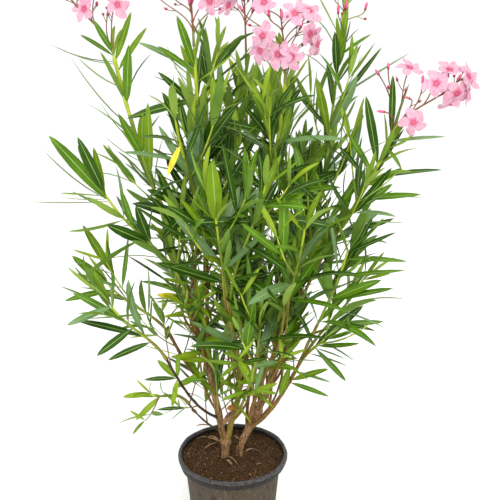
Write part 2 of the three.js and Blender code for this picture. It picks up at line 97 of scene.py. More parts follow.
def at(out: float, facing: float, height: float) -> Array:
    """The place so many mm out from the pot's axis, at a turn in degrees from +X and a height."""
    turn = math.radians(facing)
    return np.array([out * math.cos(turn), out * math.sin(turn), height]) * MM


class Stream:
    """The repeatable stream of numbers from 0 to 1 that the solids grow by too."""

    FACTOR = 1664525
    STEP = 1013904223
    RANGE = 2**32
    SPREAD = 7877

    def __init__(self, seed: int) -> None:
        """Starts the stream of one mass or truss."""
        self.state = (seed + 1) * self.SPREAD

    def draw(self) -> float:
        """The next number from 0 to 1."""
        self.state = (self.state * self.FACTOR + self.STEP) % self.RANGE
        return self.state / self.RANGE

    def between(self, low: float, high: float) -> float:
        """The next number from low to high."""
        return mix(low, high, self.draw())


@dataclass(frozen=True)
class Course:
    """A limb's middle line: a cubic curve drawn by four guide points."""

    guides: Array
    chords: int = 24

    def spots(self, shares: Array) -> Array:
        """The points at shares of the way: the guides weighted by the cubic Bernstein terms.

        Args:
            shares: shares of the way, from 0 to 1.

        Returns:
            A point for each share.
        """
        t = np.asarray(shares, float)[..., None]
        a, b, c, d = self.guides
        return (1 - t) ** 3 * a + 3 * t * (1 - t) ** 2 * b + 3 * t**2 * (1 - t) * c + t**3 * d

    def headings(self, shares: Array) -> Array:
        """The direction of travel at shares of the way: the curve's slope, one long.

        Args:
            shares: shares of the way, from 0 to 1.

        Returns:
            A direction for each share.
        """
        t = np.asarray(shares, float)[..., None]
        a, b, c, _ = np.diff(self.guides, axis=0, append=self.guides[-1:])
        return unit((1 - t) ** 2 * a + 2 * t * (1 - t) * b + t**2 * c)

    def length(self) -> float:
        """The distance along the curve, summed over short chords."""
        line = self.spots(np.linspace(0, 1, self.chords + 1))
        return float(np.linalg.norm(np.diff(line, axis=0), axis=1).sum())


def reach(start: Array, leave: Array, tip: Array, bend: float, upright: float) -> Course:
    """A course that leaves in one direction and arrives bent a share of the way upright.

    Args:
        start: where it starts.
        leave: the direction it leaves in.
        tip: where it ends.
        bend: how far each end's pull reaches, as a share of the straight distance.
        upright: how far the arrival is turned from the straight line towards up.

    Returns:
        The course.
    """
    chord = tip - start
    pull = np.linalg.norm(chord) * bend
    arrive = unit(mix(unit(chord), UP, upright))
    return Course(np.array([start, start + leave * pull, tip - arrive * pull, tip]))


@dataclass(frozen=True)
class Stance:
    """A place on a limb with its direction and two directions square to it."""

    spot: Array
    along: Array
    side: Array
    front: Array

    def turned(self, open_by: float, turn: float) -> Array:
        """The direction at an angle from the limb's own, turned about it."""
        outward = self.side * math.cos(turn) + self.front * math.sin(turn)
        return outward * math.sin(open_by) + self.along * math.cos(open_by)


def stance(course: Course, share: float) -> Stance:
    """The stance at a share of the way along a course, as the solids have it.

    Args:
        course: the limb's course.
        share: the share of the way.

    Returns:
        The stance, whose side is the line across the photograph, made square to the limb.
    """
    spot = course.spots(np.array(share))
    along = course.headings(np.array(share))
    side = unit(ACROSS - along * along[0])
    return Stance(spot, along, side, np.cross(side, along))


@dataclass
class Shape:
    """Corners, blocks of equal-sided faces, and for each block the finish number of its faces."""

    corners: Array
    faces: list[Array]
    finishes: list[Array]


def finished(corners: Array, faces: list[Array], finish: int) -> Shape:
    """A shape that has one finish all over."""
    return Shape(corners, faces, [np.full(len(block), finish) for block in faces])


def joined(shapes: Iterable[Shape]) -> Shape:
    """Many shapes put together as one, each numbered on from the corners of those before it.

    Args:
        shapes: the shapes.

    Returns:
        The one shape.
    """
    corners, faces, finishes, count = [], [], [], 0
    for shape in shapes:
        corners.append(shape.corners)
        faces += [block + count for block in shape.faces]
        finishes += shape.finishes
        count += len(shape.corners)
    return Shape(np.concatenate(corners), faces, finishes)


def lattice(rows: int, columns: int, wrap: bool) -> Array:
    """The four-sided faces between neighbouring corners of a grid, row by row.

    Args:
        rows: how many rows the grid has.
        columns: how many corners a row has.
        wrap: whether a row's last corner has its first as a neighbour.

    Returns:
        The corner numbers of each face.
    """
    last = columns if wrap else columns - 1
    row, column = np.meshgrid(np.arange(rows - 1), np.arange(last), indexing="ij")
    near = row * columns + column
    beside = row * columns + (column + 1) % columns
    return np.stack([near, beside, beside + columns, near + columns], axis=-1).reshape(-1, 4)


def capped(rows: int, columns: int) -> list[Array]:
    """The faces of a closed tube: its skin, then the cap over its first ring and its last.

    Args:
        rows: how many rings it has.
        columns: how many corners a ring has.

    Returns:
        The three blocks of faces.
    """
    ring = np.arange(columns)
    return [lattice(rows, columns, True), ring[::-1][None], (rows - 1) * columns + ring[None]]


def across_of(run: Array) -> tuple[Array, Array]:
    """Two directions square to each direction of a path and to each other.

    The first is the axis that the path runs along least, minus its part along the path. The
    second is the path's direction crossed with the first.

    Args:
        run: the path's directions, a row each.

    Returns:
        Both directions, with a row for each of the path's.
    """
    least = np.eye(3)[np.argmin(np.abs(run.mean(axis=0)))]
    side = unit(least - run * (run @ least)[:, None])
    return side, np.cross(run, side)


def tube(path: Array, radii: Array, sides: int, finish: int, relief: Array | float = 0.0) -> Shape:
    """A closed tube: each ring is a circle about the path, with its ends closed.

    A corner lies at path + (radius + relief) * (side * cos(turn) + front * sin(turn)).

    Args:
        path: the middle of each ring.
        radii: the radius of each ring.
        sides: corners in a ring.
        finish: the finish number.
        relief: how far each corner stands out from its circle.

    Returns:
        The shape.
    """
    run = unit(np.gradient(path, axis=0))
    side, front = across_of(run)
    turn = FULL_TURN * np.arange(sides) / sides
    ring = side[:, None] * np.cos(turn)[:, None] + front[:, None] * np.sin(turn)[:, None]
    out = radii[:, None] + relief
    corners = (path[:, None] + ring * out[..., None]).reshape(-1, 3)
    return finished(corners, capped(len(path), sides), finish)


def square_to(facing: Array, turn: float) -> Array:
    """The direction square to a facing at a turn about it: side * cos(turn) + front * sin(turn)."""
    side, front = (axis[0] for axis in across_of(facing[None]))
    return side * math.cos(turn) + front * math.sin(turn)


def waves(points: Array, longest: float, shortest: float, seed: int) -> Array:
    """A rough field from about -1 to 1: many plane waves of seeded direction, length and start.

    Args:
        points: where it is read, with coordinates in metres on the last axis.
        longest: the longest wave.
        shortest: the shortest wave.
        seed: which field.

    Returns:
        The field at each point.
    """
    dice = np.random.default_rng(seed)
    count = 24
    lengths = np.geomspace(longest, shortest, count)
    aims = unit(dice.normal(size=(count, points.shape[-1])))
    heights = np.sqrt(lengths / lengths.sum())
    phase = points @ (aims * (FULL_TURN / lengths)[:, None]).T + dice.uniform(0, FULL_TURN, count)
    return (np.sin(phase) * heights).sum(axis=-1)


def revolved(profile: Array, sides: int, relief: Array, finish: Array) -> Shape:
    """A profile turned about the upright axis, with a pole where it meets the axis at each end.

    A corner lies at ((radius + relief) * cos(turn), (radius + relief) * sin(turn), height).

    Args:
        profile: radius and height of each ring, from the bottom pole outwards and up.
        sides: corners in a ring.
        relief: how far each corner stands out, a row a ring.
        finish: the finish number of the band after each ring.

    Returns:
        The shape.
    """
    turn = FULL_TURN * np.arange(sides) / sides
    out = np.broadcast_to(profile[:, :1] + relief, (len(profile), sides))
    height = np.broadcast_to(profile[:, 1:], out.shape)
    rings = np.stack([out * np.cos(turn), out * np.sin(turn), height], axis=-1)
    poles = np.array([[0, 0, profile[0, 1]], [0, 0, profile[-1, 1]]])
    corners = np.concatenate([rings.reshape(-1, 3), poles])
    bands = lattice(len(profile), sides, True)
    beside = (np.arange(sides) + 1) % sides
    count = len(profile) * sides
    low = np.stack([beside, np.arange(sides), np.full(sides, count)], axis=1)
    top = count - sides
    high = np.stack([np.arange(sides) + top, beside + top, np.full(sides, count + 1)], axis=1)
    fans = [np.full(sides, finish[0]), np.full(sides, finish[-1])]
    return Shape(corners, [bands, low, high], [np.repeat(finish[:-1], sides), *fans])


def rounded(points: list[Pair], radius: float, steps: int) -> Array:
    """A profile in mm with each inner corner eased by a short parabola, in metres.

    Args:
        points: radius and height of each corner.
        radius: how far the easing starts from a corner, at most half of either edge.
        steps: points on each easing.

    Returns:
        Radius and height of each point.
    """
    path = np.array(points, float)
    made = [path[:1]]
    share = np.linspace(0, 1, steps)[:, None]
    first, middle, last = (1 - share) ** 2, 2 * share * (1 - share), share**2
    for before, corner, after in zip(path[:-2], path[1:-1], path[2:]):
        back, onward = before - corner, after - corner
        ends = [corner + edge * min(0.5, radius / np.linalg.norm(edge)) for edge in (back, onward)]
        made.append(first * ends[0] + middle * corner + last * ends[1])
    made.append(path[-1:])
    return np.concatenate(made) * MM


def linear(hex_code: str) -> tuple[float, float, float, float]:
    """A colour from its sRGB hex code, as the linear values that shaders take."""
    parts = [int(hex_code[i : i + 2], 16) / 255 for i in (1, 3, 5)]
    return (*[p / 12.92 if p <= 0.04045 else ((p + 0.055) / 1.055) ** 2.4 for p in parts], 1.0)


def add_node(
    material: bpy.types.Material,
    kind: str,
    values: dict | None = None,
    links: dict | None = None,
    **settings: object,
) -> bpy.types.Node:
    """Adds a node to a material.

    Args:
        material: the material that gets it.
        kind: the node's type.
        values: socket values by name or number.
        links: source sockets by the name or number of the socket they feed.
        settings: the node's own properties.

    Returns:
        The node.
    """
    node = material.node_tree.nodes.new(kind)
    for name, setting in settings.items():
        setattr(node, name, setting)
    for socket, value in (values or {}).items():
        node.inputs[socket].default_value = value
    for socket, source in (links or {}).items():
        material.node_tree.links.new(source, node.inputs[socket])
    return node


@dataclass(frozen=True)
class Finish:
    """A surface whose colour wanders between tints over real distances, with a fine relief.

    patch_mm is the usual size of a patch of one tint, and grain_mm and grain_depth_mm are the
    size and depth of the relief. stretch is against each axis: below 1, patches run on along it.
    tint_span is where a noise's values mostly lie, and the tints are spread over that.
    """

    name: str
    tints: tuple[str, ...]
    roughness: float
    patch_mm: float = 20.0
    grain_mm: float = 1.0
    grain_depth_mm: float = 0.1
    stretch: Triple = (1.0, 1.0, 1.0)
    specular: float = 0.5
    subsurface: float = 0.0
    light_depth_mm: float = 2.0
    patch_detail: float = 4.0
    grain_detail: float = 3.0
    tint_span: Pair = (0.34, 0.66)

    def make(self) -> bpy.types.Material:
        """Builds the material: tints by a broad noise, relief by a fine one, both in real mm.

        Returns:
            The material.
        """
        material = bpy.data.materials.new(self.name)
        material.use_nodes = True
        shader = material.node_tree.nodes["Principled BSDF"]
        shader.inputs["Roughness"].default_value = self.roughness
        shader.inputs["Specular IOR Level"].default_value = self.specular
        shader.inputs["Subsurface Weight"].default_value = self.subsurface
        shader.inputs["Subsurface Scale"].default_value = self.light_depth_mm * MM
        place = add_node(material, "ShaderNodeTexCoord").outputs["Object"]
        scaled = add_node(material, "ShaderNodeMapping", {"Scale": self.stretch}, {"Vector": place})
        vector = {"Vector": scaled.outputs["Vector"]}
        broad = {"Scale": 1 / (self.patch_mm * MM), "Detail": self.patch_detail}
        patch = add_node(material, "ShaderNodeTexNoise", broad, vector)
        ramp = add_node(material, "ShaderNodeValToRGB", links={"Fac": patch.outputs["Fac"]})
        spread = np.linspace(*self.tint_span, len(self.tints))
        ramp.color_ramp.elements[0].position = spread[0]
        ramp.color_ramp.elements[1].position = spread[-1]
        for position in spread[1:-1]:
            ramp.color_ramp.elements.new(position)
        for element, tint in zip(ramp.color_ramp.elements, self.tints):
            element.color = linear(tint)
        fine = {"Scale": 1 / (self.grain_mm * MM), "Detail": self.grain_detail}
        grain = add_node(material, "ShaderNodeTexNoise", fine, vector)
        depth = {"Distance": self.grain_depth_mm * MM, "Strength": 1.0}
        bump = add_node(material, "ShaderNodeBump", depth, {"Height": grain.outputs["Fac"]})
        material.node_tree.links.new(ramp.outputs["Color"], shader.inputs["Base Color"])
        material.node_tree.links.new(bump.outputs["Normal"], shader.inputs["Normal"])
        return material


@dataclass(frozen=True)
class BarkSkin(Finish):
    """A woody shoot's skin, whose patches run along the shoot."""

    roughness: float = 0.75
    patch_mm: float = 10.0
    grain_mm: float = 1.4
    grain_depth_mm: float = 0.25
    stretch: Triple = (1.0, 1.0, 0.3)
    specular: float = 0.3


@dataclass(frozen=True)
class ShootSkin(Finish):
    """A green shoot's waxy skin."""

    roughness: float = 0.5
    patch_mm: float = 30.0
    grain_depth_mm: float = 0.05


@dataclass(frozen=True)
class LeafSkin(Finish):
    """A leaf's skin, leathery and a little waxy while it lives."""

    roughness: float = 0.5
    patch_mm: float = 60.0
    grain_mm: float = 0.8
    grain_depth_mm: float = 0.05
    specular: float = 0.2


@dataclass(frozen=True)
class PetalSkin(Finish):
    """The soft skin of a petal, bud, sepal or flower stalk."""

    roughness: float = 0.6
    patch_mm: float = 6.0
    grain_mm: float = 0.6
    grain_depth_mm: float = 0.05


class Bark(IntEnum):
    """The ages of a shoot's skin."""

    OLD = 0
    YOUNG = 1
    OLIVE = 2
    GREEN = 3
    LIME = 4
    TAN = 5
    SHADED = 6


# Oleander bark is thin and smooth: tan with brown patches at the foot, olive on last year's wood
# and a waxy green on this year's shoots, brightest at their tips.
BARK_FINISHES = (
    BarkSkin(
        "old_oleander_bark",
        ("#432511", "#7c5d38", "#9d805a", "#683a1b", "#ac906c", "#6e5330"),
        roughness=0.85, patch_mm=8, grain_mm=1.6, grain_depth_mm=0.4, stretch=(1, 1, 0.35),
    ),
    BarkSkin(
        "young_oleander_bark",
        ("#53371d", "#896535", "#7a602a", "#6f4924", "#967442"),
        roughness=0.78, patch_mm=9,
    ),
    ShootSkin(
        "olive_oleander_stem",
        ("#7a6a22", "#8c8226", "#7c7a24"),
        roughness=0.6, grain_mm=1.2, grain_depth_mm=0.1, stretch=(1, 1, 0.3),
    ),
    ShootSkin("green_oleander_shoot", ("#748c1e", "#8aa028", "#70881e")),
    ShootSkin("fresh_oleander_shoot", ("#a4b824", "#b8c832"), roughness=0.45),
    BarkSkin("greening_oleander_bark", ("#6e6026", "#948238", "#7c6a2e", "#907a40")),
    # Painted shade: a near-black bark for boughs that stand deep in the plant's shade.
    BarkSkin(
        "shaded_oleander_bark", ("#2a2218", "#443826", "#362a1a"), patch_mm=12, grain_depth_mm=0.2
    ),
)


class Tissue(IntEnum):
    """The parts and ages of leaf that have a colour of their own."""

    DARK = 0
    MID = 1
    GREY = 2
    FRESH = 3
    YELLOW = 4
    DRY = 5
    RIB = 6
    UNDER = 7
    UNDER_FRESH = 8
    OLIVE = 9
    BROWN = 10


# An oleander leaf is leathery: a thick waxy skin over deep green, paler and matt underneath, with
# a cream midrib. New leaves are yellow-green, and old ones turn yellow and then dry to brown.
LEAF_FINISHES = (
    # Deep green: the dark leaves' own colour, and in the plant's heart also painted shade.
    LeafSkin("dark_oleander_leaf", ("#1f4002", "#305406", "#284a04"), 0.45),
    LeafSkin("mid_oleander_leaf", ("#446c06", "#57820c", "#4d7608"), 0.45, specular=0.22),
    # Grey-green: partly pale undersides, partly a painted sheen for leaves that catch the light.
    LeafSkin("grey_oleander_leaf", ("#5a7e46", "#6e905c", "#628648"), 0.45, specular=0.4),
    LeafSkin("fresh_oleander_leaf", ("#74900e", "#88a21a", "#7c9612")),
    LeafSkin("yellow_oleander_leaf", ("#dcca1e", "#ecdc38", "#cbb81c"), 0.55, 20, specular=0.5),
    LeafSkin(
        "dry_oleander_leaf",
        ("#b3762c", "#cf9040", "#8f5c28"),
        roughness=0.8, patch_mm=9, grain_depth_mm=0.15, specular=0.5,
    ),
    LeafSkin(
        "oleander_midrib", ("#8cab52", "#9ab862"), patch_mm=40, grain_depth_mm=0.03, specular=0.5
    ),
    LeafSkin(
        "oleander_leaf_underside", ("#587c26", "#688a32", "#60822c"), 0.65, 50, grain_depth_mm=0.06
    ),
    LeafSkin("fresh_leaf_underside", ("#7e9e3a", "#8eac48"), 0.6, 50, grain_depth_mm=0.06),
    LeafSkin("olive_oleander_leaf", ("#5a7a06", "#6e8e0c", "#648408"), patch_mm=50),
    LeafSkin(
        "withered_oleander_leaf",
        ("#6e5034", "#8c6c4a", "#58402a"),
        roughness=0.85, patch_mm=9, grain_depth_mm=0.15, specular=0.5,
    ),
)


class Bloom(IntEnum):
    """The parts of a truss that have a colour of their own."""

    PALE = 0
    ROSE = 1
    THROAT = 2
    BUD = 3
    STALK = 4
    CALYX = 5
    GREEN = 6


# Oleander petals are thin and soft, pale pink at the edge and deeper towards a coral throat. The
# stalks of a truss are red-brown, or green while it is in bud, and the sepals darker.
BLOOM_FINISHES = (
    PetalSkin("pale_oleander_petal", ("#cd94ae", "#d7aabd", "#c98da8"), patch_mm=8, subsurface=0.2),
    PetalSkin("rose_oleander_petal", ("#c8829e", "#d092ac"), subsurface=0.2),
    PetalSkin("oleander_flower_throat", ("#ca5676", "#d46e8c"), patch_mm=4, subsurface=0.1),
    PetalSkin(
        "oleander_bud",
        ("#dd4f80", "#e8699a", "#d2486c"),
        roughness=0.5, grain_depth_mm=0.04, subsurface=0.1,
    ),
    PetalSkin("oleander_truss_stalk", ("#743c26", "#8e5634", "#7c4a30"), patch_mm=9),
    PetalSkin("oleander_sepal", ("#7a3226", "#98503a"), patch_mm=5),
    PetalSkin("green_truss_stalk", ("#7a8236", "#8c9440"), roughness=0.55, patch_mm=12),
)


class Ground(IntEnum):
    """What lies in the pot."""

    PEAT = 0
    CHIP = 1
    GRIT = 2
    LITTER = 3


# Potting compost: dark moist peat and composted bark, with woody chips, pale grit and fallen
# leaves that have dried.
GROUND_FINISHES = (
    Finish(
        "moist_potting_compost",
        ("#130c06", "#352313", "#5e4429", "#1b120a", "#432d19"),
        roughness=0.95, patch_mm=4, grain_mm=1.5, grain_depth_mm=0.8, specular=0.2,
    ),
    Finish(
        "composted_bark_chip",
        ("#4a2815", "#7a4c2a", "#94703f"),
        roughness=0.9, patch_mm=3, grain_depth_mm=0.3, specular=0.3,
    ),
    Finish("horticultural_grit", ("#cfc6b4", "#e6dfd0"), 0.8, 3, grain_mm=0.6, grain_depth_mm=0.2),
    Finish(
        "fallen_oleander_leaf",
        ("#8a6c4c", "#a88c68", "#6a4c34"),
        roughness=0.85, patch_mm=7, grain_mm=0.9, grain_depth_mm=0.2,
    ),
)


class Plastic(IntEnum):
    """The looks of the pot's plastic."""

    BODY = 0
    RIM = 1
    LIP = 2


# Moulded recycled polypropylene: matt and nearly black where it is clean, as on the rim, worn to
# slate grey in patches and lightened by a painted highlight along the top of the rolled lip, and
# taupe under a film of dried mud and dust on the wall.
POT_FINISHES = (
    Finish(
        "dusty_moulded_polypropylene",
        ("#3a332a", "#544b3e", "#463f34", "#5f5546"),
        roughness=0.85, patch_mm=9, grain_mm=0.9, grain_depth_mm=0.12, stretch=(1, 1, 0.5),
        specular=0.25,
    ),
    Finish(
        "worn_moulded_polypropylene",
        ("#12100f", "#1d1b19", "#292622", "#161413"),
        roughness=0.62, patch_mm=6, grain_depth_mm=0.25, specular=0.25,
    ),
    # The lip's top: patchy scuffs and a painted highlight, a lighter slate grey for the light it
    # catches.
    Finish(
        "scuffs_and_highlight_lip_polypropylene",
        ("#1f1f22", "#3e3d41", "#565355", "#29292b", "#484648"),
        roughness=0.6, patch_mm=7, grain_mm=1.2, grain_depth_mm=0.3, specular=0.3,
    ),
)

# A plain painted floor, so even that its patches and relief hardly show.
FLOOR_FINISH = Finish("studio_floor_paint", ("#fbfbfa", "#fdfdfc"), 0.9, 900, 4.0, 0.02, specular=0.2)


def piece(name: str, shape: Shape, finishes: Iterable[Finish], nodes: Iterable[str]) -> None:
    """Puts a shape in the scene as one piece of the plant or its pot.

    Faces that meet in more than the crease angle, as at a leaf's margin, keep a crisp edge.

    Args:
        name: the piece's name.
        shape: its corners and faces.
        finishes: the finishes that its finish numbers point at.
        nodes: the solids that it stands for.
    """
    mesh = bpy.data.meshes.new(name)
    mesh.vertices.add(len(shape.corners))
    mesh.vertices.foreach_set("co", shape.corners.astype(np.float32).ravel())
    loops = np.concatenate([block.ravel() for block in shape.faces])
    sizes = np.concatenate([np.full(len(block), block.shape[1]) for block in shape.faces])
    mesh.loops.add(len(loops))
    mesh.loops.foreach_set("vertex_index", loops.astype(np.int32))
    mesh.polygons.add(len(sizes))
    mesh.polygons.foreach_set("loop_start", (np.cumsum(sizes) - sizes).astype(np.int32))
    mesh.polygons.foreach_set("material_index", np.concatenate(shape.finishes).astype(np.int32))
    mesh.polygons.foreach_set("use_smooth", np.ones(len(sizes), dtype=bool))
    mesh.update(calc_edges=True)
    mesh.validate()
    mesh.set_sharp_from_angle(angle=CREASE)
    for finish in finishes:
        mesh.materials.append(bpy.data.materials.get(finish.name) or finish.make())
    made = bpy.data.objects.new(name, mesh)
    bpy.context.scene.collection.objects.link(made)
    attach(made, "root")
    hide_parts(*nodes)
    LOG.info("%s: %d corners, %d faces", name, len(mesh.vertices), len(mesh.polygons))


@dataclass(frozen=True)
class Habit:
    """How leaves sit on one kind of shoot.

    gap is from whorl to whorl in metres, and bare is the share of the shoot below the first.
    open_low and open_top are the leaves' angles in degrees from it there and at its tip. young is
    the size of the leaves at the tip against those below, size and width are against the usual,
    and fresh is the share of them that is yellow-green. extra is how many side shoots the mass
    has more than its solid, stem is the radius in mm of its own stem at its foot and tip, and top
    is the share of the shoot at which the last whorl stands.
    """

    gap: float
    bare: float
    open_low: float
    open_top: float
    young: float
    size: float = 1.0
    width: float = 1.0
    fresh: float = 0.0
    extra: int = 0
    stem: Pair = (3.4, 2.3)
    top: float = 1.0


LEAFY = Habit(42 * MM, 0.1, 66, 27, 0.62, size=1.05, width=1.05)
OPEN = Habit(58 * MM, 0.14, 64, 26, 0.68, width=0.95, extra=-1)
FLOWERING = Habit(42 * MM, 0.1, 58, 34, 0.62, width=0.9, extra=1, stem=(3.6, 3.6), top=0.95)
SLENDER = Habit(44 * MM, 0.1, 50, 24, 0.68, size=0.88, width=0.8, extra=1, stem=(3.2, 2.6))
BARE = Habit(88 * MM, 0.1, 56, 32, 0.7, size=0.9, width=0.8, extra=-3, stem=(3.8, 4.0))
SPARSE = Habit(52 * MM, 0.3, 56, 30, 0.8, size=0.52, fresh=0.5)
SIDE = Habit(38 * MM, 0.3, 60, 24, 0.6, width=0.95)
SUCKER = Habit(44 * MM, 0.45, 62, 24, 0.62, size=0.92, width=0.95, fresh=0.12)
SPUR = Habit(26 * MM, 0.3, 64, 34, 0.75, size=0.52, width=1.05, fresh=0.55)


@dataclass(frozen=True)
class Growth:
    """A kind of side shoot.

    gap is the distance along the limb from one to the next, span the shares of it they stand
    between, opening their angle in degrees to it, and length the least and the most. taper is how
    much shorter they are at the limb's tip. aside and rise say how far the tip lies along the
    shoot's first direction and above it, as shares of the length. radii are in mm. ages are the
    shoot's skins from its foot to its tip, and high up the first of them is left out.
    """

    gap: float
    span: Pair
    opening: float
    length: Pair
    taper: float
    aside: float
    rise: float
    radii: Pair
    ages: tuple[Bark, ...]
    habit: Habit


SIDE_SHOOTS = Growth(
    gap=120 * MM, span=(0.16, 0.74), opening=38, length=(112 * MM, 165 * MM), taper=0.45, aside=1.0,
    rise=0.4, radii=(2.1, 1.3), ages=(Bark.GREEN, Bark.GREEN, Bark.LIME), habit=SIDE,
)
SUCKERS = Growth(
    gap=100 * MM, span=(0.05, 0.95), opening=30, length=(165 * MM, 330 * MM), taper=0.0, aside=0.34,
    rise=0.7, radii=(2.8, 1.5), ages=(Bark.YOUNG, Bark.YOUNG, Bark.OLIVE, Bark.GREEN), habit=SUCKER,
)
SPURS = Growth(
    gap=90 * MM, span=(0.3, 0.98), opening=56, length=(60 * MM, 135 * MM), taper=0.0, aside=0.8,
    rise=0.3, radii=(1.5, 0.9), ages=(Bark.YOUNG, Bark.OLIVE, Bark.GREEN), habit=SPUR,
)


@dataclass(frozen=True)
class Row:
    """One limb of the plant: its name, the limb that it stands on, its tip, and its radii in mm.

    along is the share of that limb at which it stands. For a leafy mass, room is how far in mm a
    leaf's tip may be from the stem, shoots how many side shoots its solid has, and habit how its
    leaves sit. spurs says whether a bough bears leafy spurs.
    """

    name: str
    on: str
    tip: Array
    radii: Pair
    along: float = 1.0
    room: float = 0.0
    shoots: int = 0
    habit: Habit = LEAFY
    spurs: bool = True


TRUNK_ROWS = (
    Row("trunk_left", "", at(15, 180, 220), (7.5, 10.5)),
    Row("trunk_right", "", at(55, 2, 295), (6, 9.5)),
)
TRUNK_FEET = {"trunk_left": at(16, 180, 182), "trunk_right": at(15, 0, 182)}

BOUGH_ROWS = (
    Row("limb_left", "trunk_left", at(50, 178, 400), (7.4, 6.4)),
    Row("limb_centre", "trunk_left", at(20, -43, 345), (5.8, 5)),
    Row("bough_outer_left", "limb_left", at(95, -168, 575), (4.6, 3.9)),
    Row("bough_tall_left", "limb_left", at(55, 157, 640), (4.6, 3.6)),
    Row("bough_back_left", "limb_left", at(145, 125, 560), (4.6, 3.8)),
    Row("bough_low_left", "limb_left", at(130, 173, 465), (3.8, 3.1), 0.72),
    Row("bough_front_left", "limb_left", at(145, -156, 450), (4, 3.2), 0.3),
    Row("bough_lowest_left", "limb_left", at(95, 176, 310), (2.8, 2.4), 0.12),
    Row("bough_front", "limb_centre", at(110, -91, 590), (4.4, 3.4)),
    Row("bough_centre", "limb_centre", at(75, 67, 615), (4.4, 3.4)),
    Row("bough_back", "limb_centre", at(115, 100, 500), (4, 3.2)),
    Row("bough_low_centre", "limb_centre", at(95, -62, 430), (3.2, 2.8), 0.5, spurs=False),
    Row("bough_low_back_left", "limb_left", at(115, 120, 430), (3.6, 3), 0.5),
    Row("bough_inner", "trunk_right", at(60, 25, 560), (4.8, 3.8)),
    Row("bough_right", "trunk_right", at(135, 0, 530), (6.2, 4.8)),
    Row("bough_back_right", "trunk_right", at(155, 45, 540), (4.8, 3.8)),
    Row("bough_low_back_right", "trunk_right", at(130, 62, 430), (3.8, 3), 0.56),
    Row("bough_right_side", "trunk_right", at(150, -15, 440), (4.6, 3.6), 0.64),
    Row("bough_front_right", "trunk_right", at(135, -42, 535), (4.2, 3.3), 0.68),
)

# The middle limb is the youngest, and its bark is still half green. The two lowest boughs on the
# left are thin, and their near-black bark is painted shade. The number is their thickness against
# their solid's.
LIMB_LOOKS = {
    "limb_centre": (Bark.TAN, 1.15),
    "bough_front": (Bark.OLIVE, 1.2),
    "bough_low_centre": (Bark.OLIVE, 1.0),
    "bough_front_left": (Bark.SHADED, 0.75),
    "bough_lowest_left": (Bark.SHADED, 0.75),
}

# A mass's own stem, at its foot and tip.
STEM = (3.2, 1.9)


def mass(name: str, on: str, tip: Array, room: float, shoots: int, habit: Habit = LEAFY) -> Row:
    """The row of a leafy mass, whose stem has the usual thickness."""
    return Row(name, on, tip, STEM, 1.0, room, shoots, habit)


MASS_ROWS = (
    mass("foliage_upper_left", "bough_outer_left", at(230, 167, 1045), 170, 3, BARE),
    mass("foliage_far_left", "bough_outer_left", at(245, -166, 800), 185, 2, OPEN),
    mass("foliage_tall_left", "bough_tall_left", at(80, 149, 1060), 150, 3, FLOWERING),
    mass("foliage_front_left", "bough_tall_left", at(145, -131, 950), 150, 2),
    mass("foliage_top_centre", "bough_centre", at(145, 78, 1010), 150, 3, FLOWERING),
    mass("foliage_back_centre", "bough_back", at(250, 90, 740), 160, 2),
    mass("foliage_front_centre", "bough_front", at(185, -97, 790), 150, 2),
    mass("foliage_front_upper", "bough_front", at(190, -70, 850), 150, 2),
    mass("foliage_inner", "bough_inner", at(105, -11, 1000), 150, 3, FLOWERING),
    mass("foliage_tall_right", "bough_right", at(225, 15, 1125), 90, 3, SLENDER),
    mass("foliage_upper_right", "bough_right", at(305, -11, 910), 165, 3, FLOWERING),
    mass("foliage_right_front", "bough_right_side", at(245, -24, 700), 165, 2, OPEN),
    mass("foliage_far_right", "bough_right_side", at(272, 2, 600), 145, 2, OPEN),
    mass("foliage_low_right", "bough_right_side", at(200, -17, 500), 130, 1),
    mass("foliage_front_right", "bough_front_right", at(230, -54, 770), 150, 2),
    mass("foliage_left_middle", "bough_low_left", at(260, 172, 575), 150, 2, OPEN),
    mass("foliage_left_front", "bough_front_left", at(255, -154, 590), 135, 2, OPEN),
    mass("foliage_lowest_left", "bough_lowest_left", at(185, -153, 385), 115, 1, SPARSE),
    mass("foliage_low_centre", "bough_low_centre", at(145, -66, 590), 140, 2),
    mass("foliage_low_back_left", "bough_low_back_left", at(250, 125, 570), 150, 2, OPEN),
    mass("foliage_low_back_right", "bough_low_back_right", at(255, 55, 570), 150, 2),
    mass("foliage_back_left_low", "bough_back_left", at(285, 132, 780), 165, 3, OPEN),
    mass("foliage_back_left_tall", "bough_back_left", at(260, 108, 940), 160, 3),
    mass("foliage_back_right_low", "bough_back_right", at(295, 45, 800), 165, 3, OPEN),
    mass("foliage_back_right_tall", "bough_back_right", at(265, 65, 980), 160, 3),
)


@dataclass(frozen=True)
class MarkedLeaf:
    """A leaf that catches the eye in the photograph.

    on and along say where it is attached. right, up and forward lead from there to its tip in mm.
    width is against the usual, face turns it in degrees from broad to edge-on, and arch is how far
    its middle stands out of the straight line, as a share of its length.
    """

    on: str
    along: float
    right: float
    up: float
    forward: float
    width: float = 1.0
    face: float = 15
    arch: float = 0.03
    tissue: Tissue = Tissue.MID


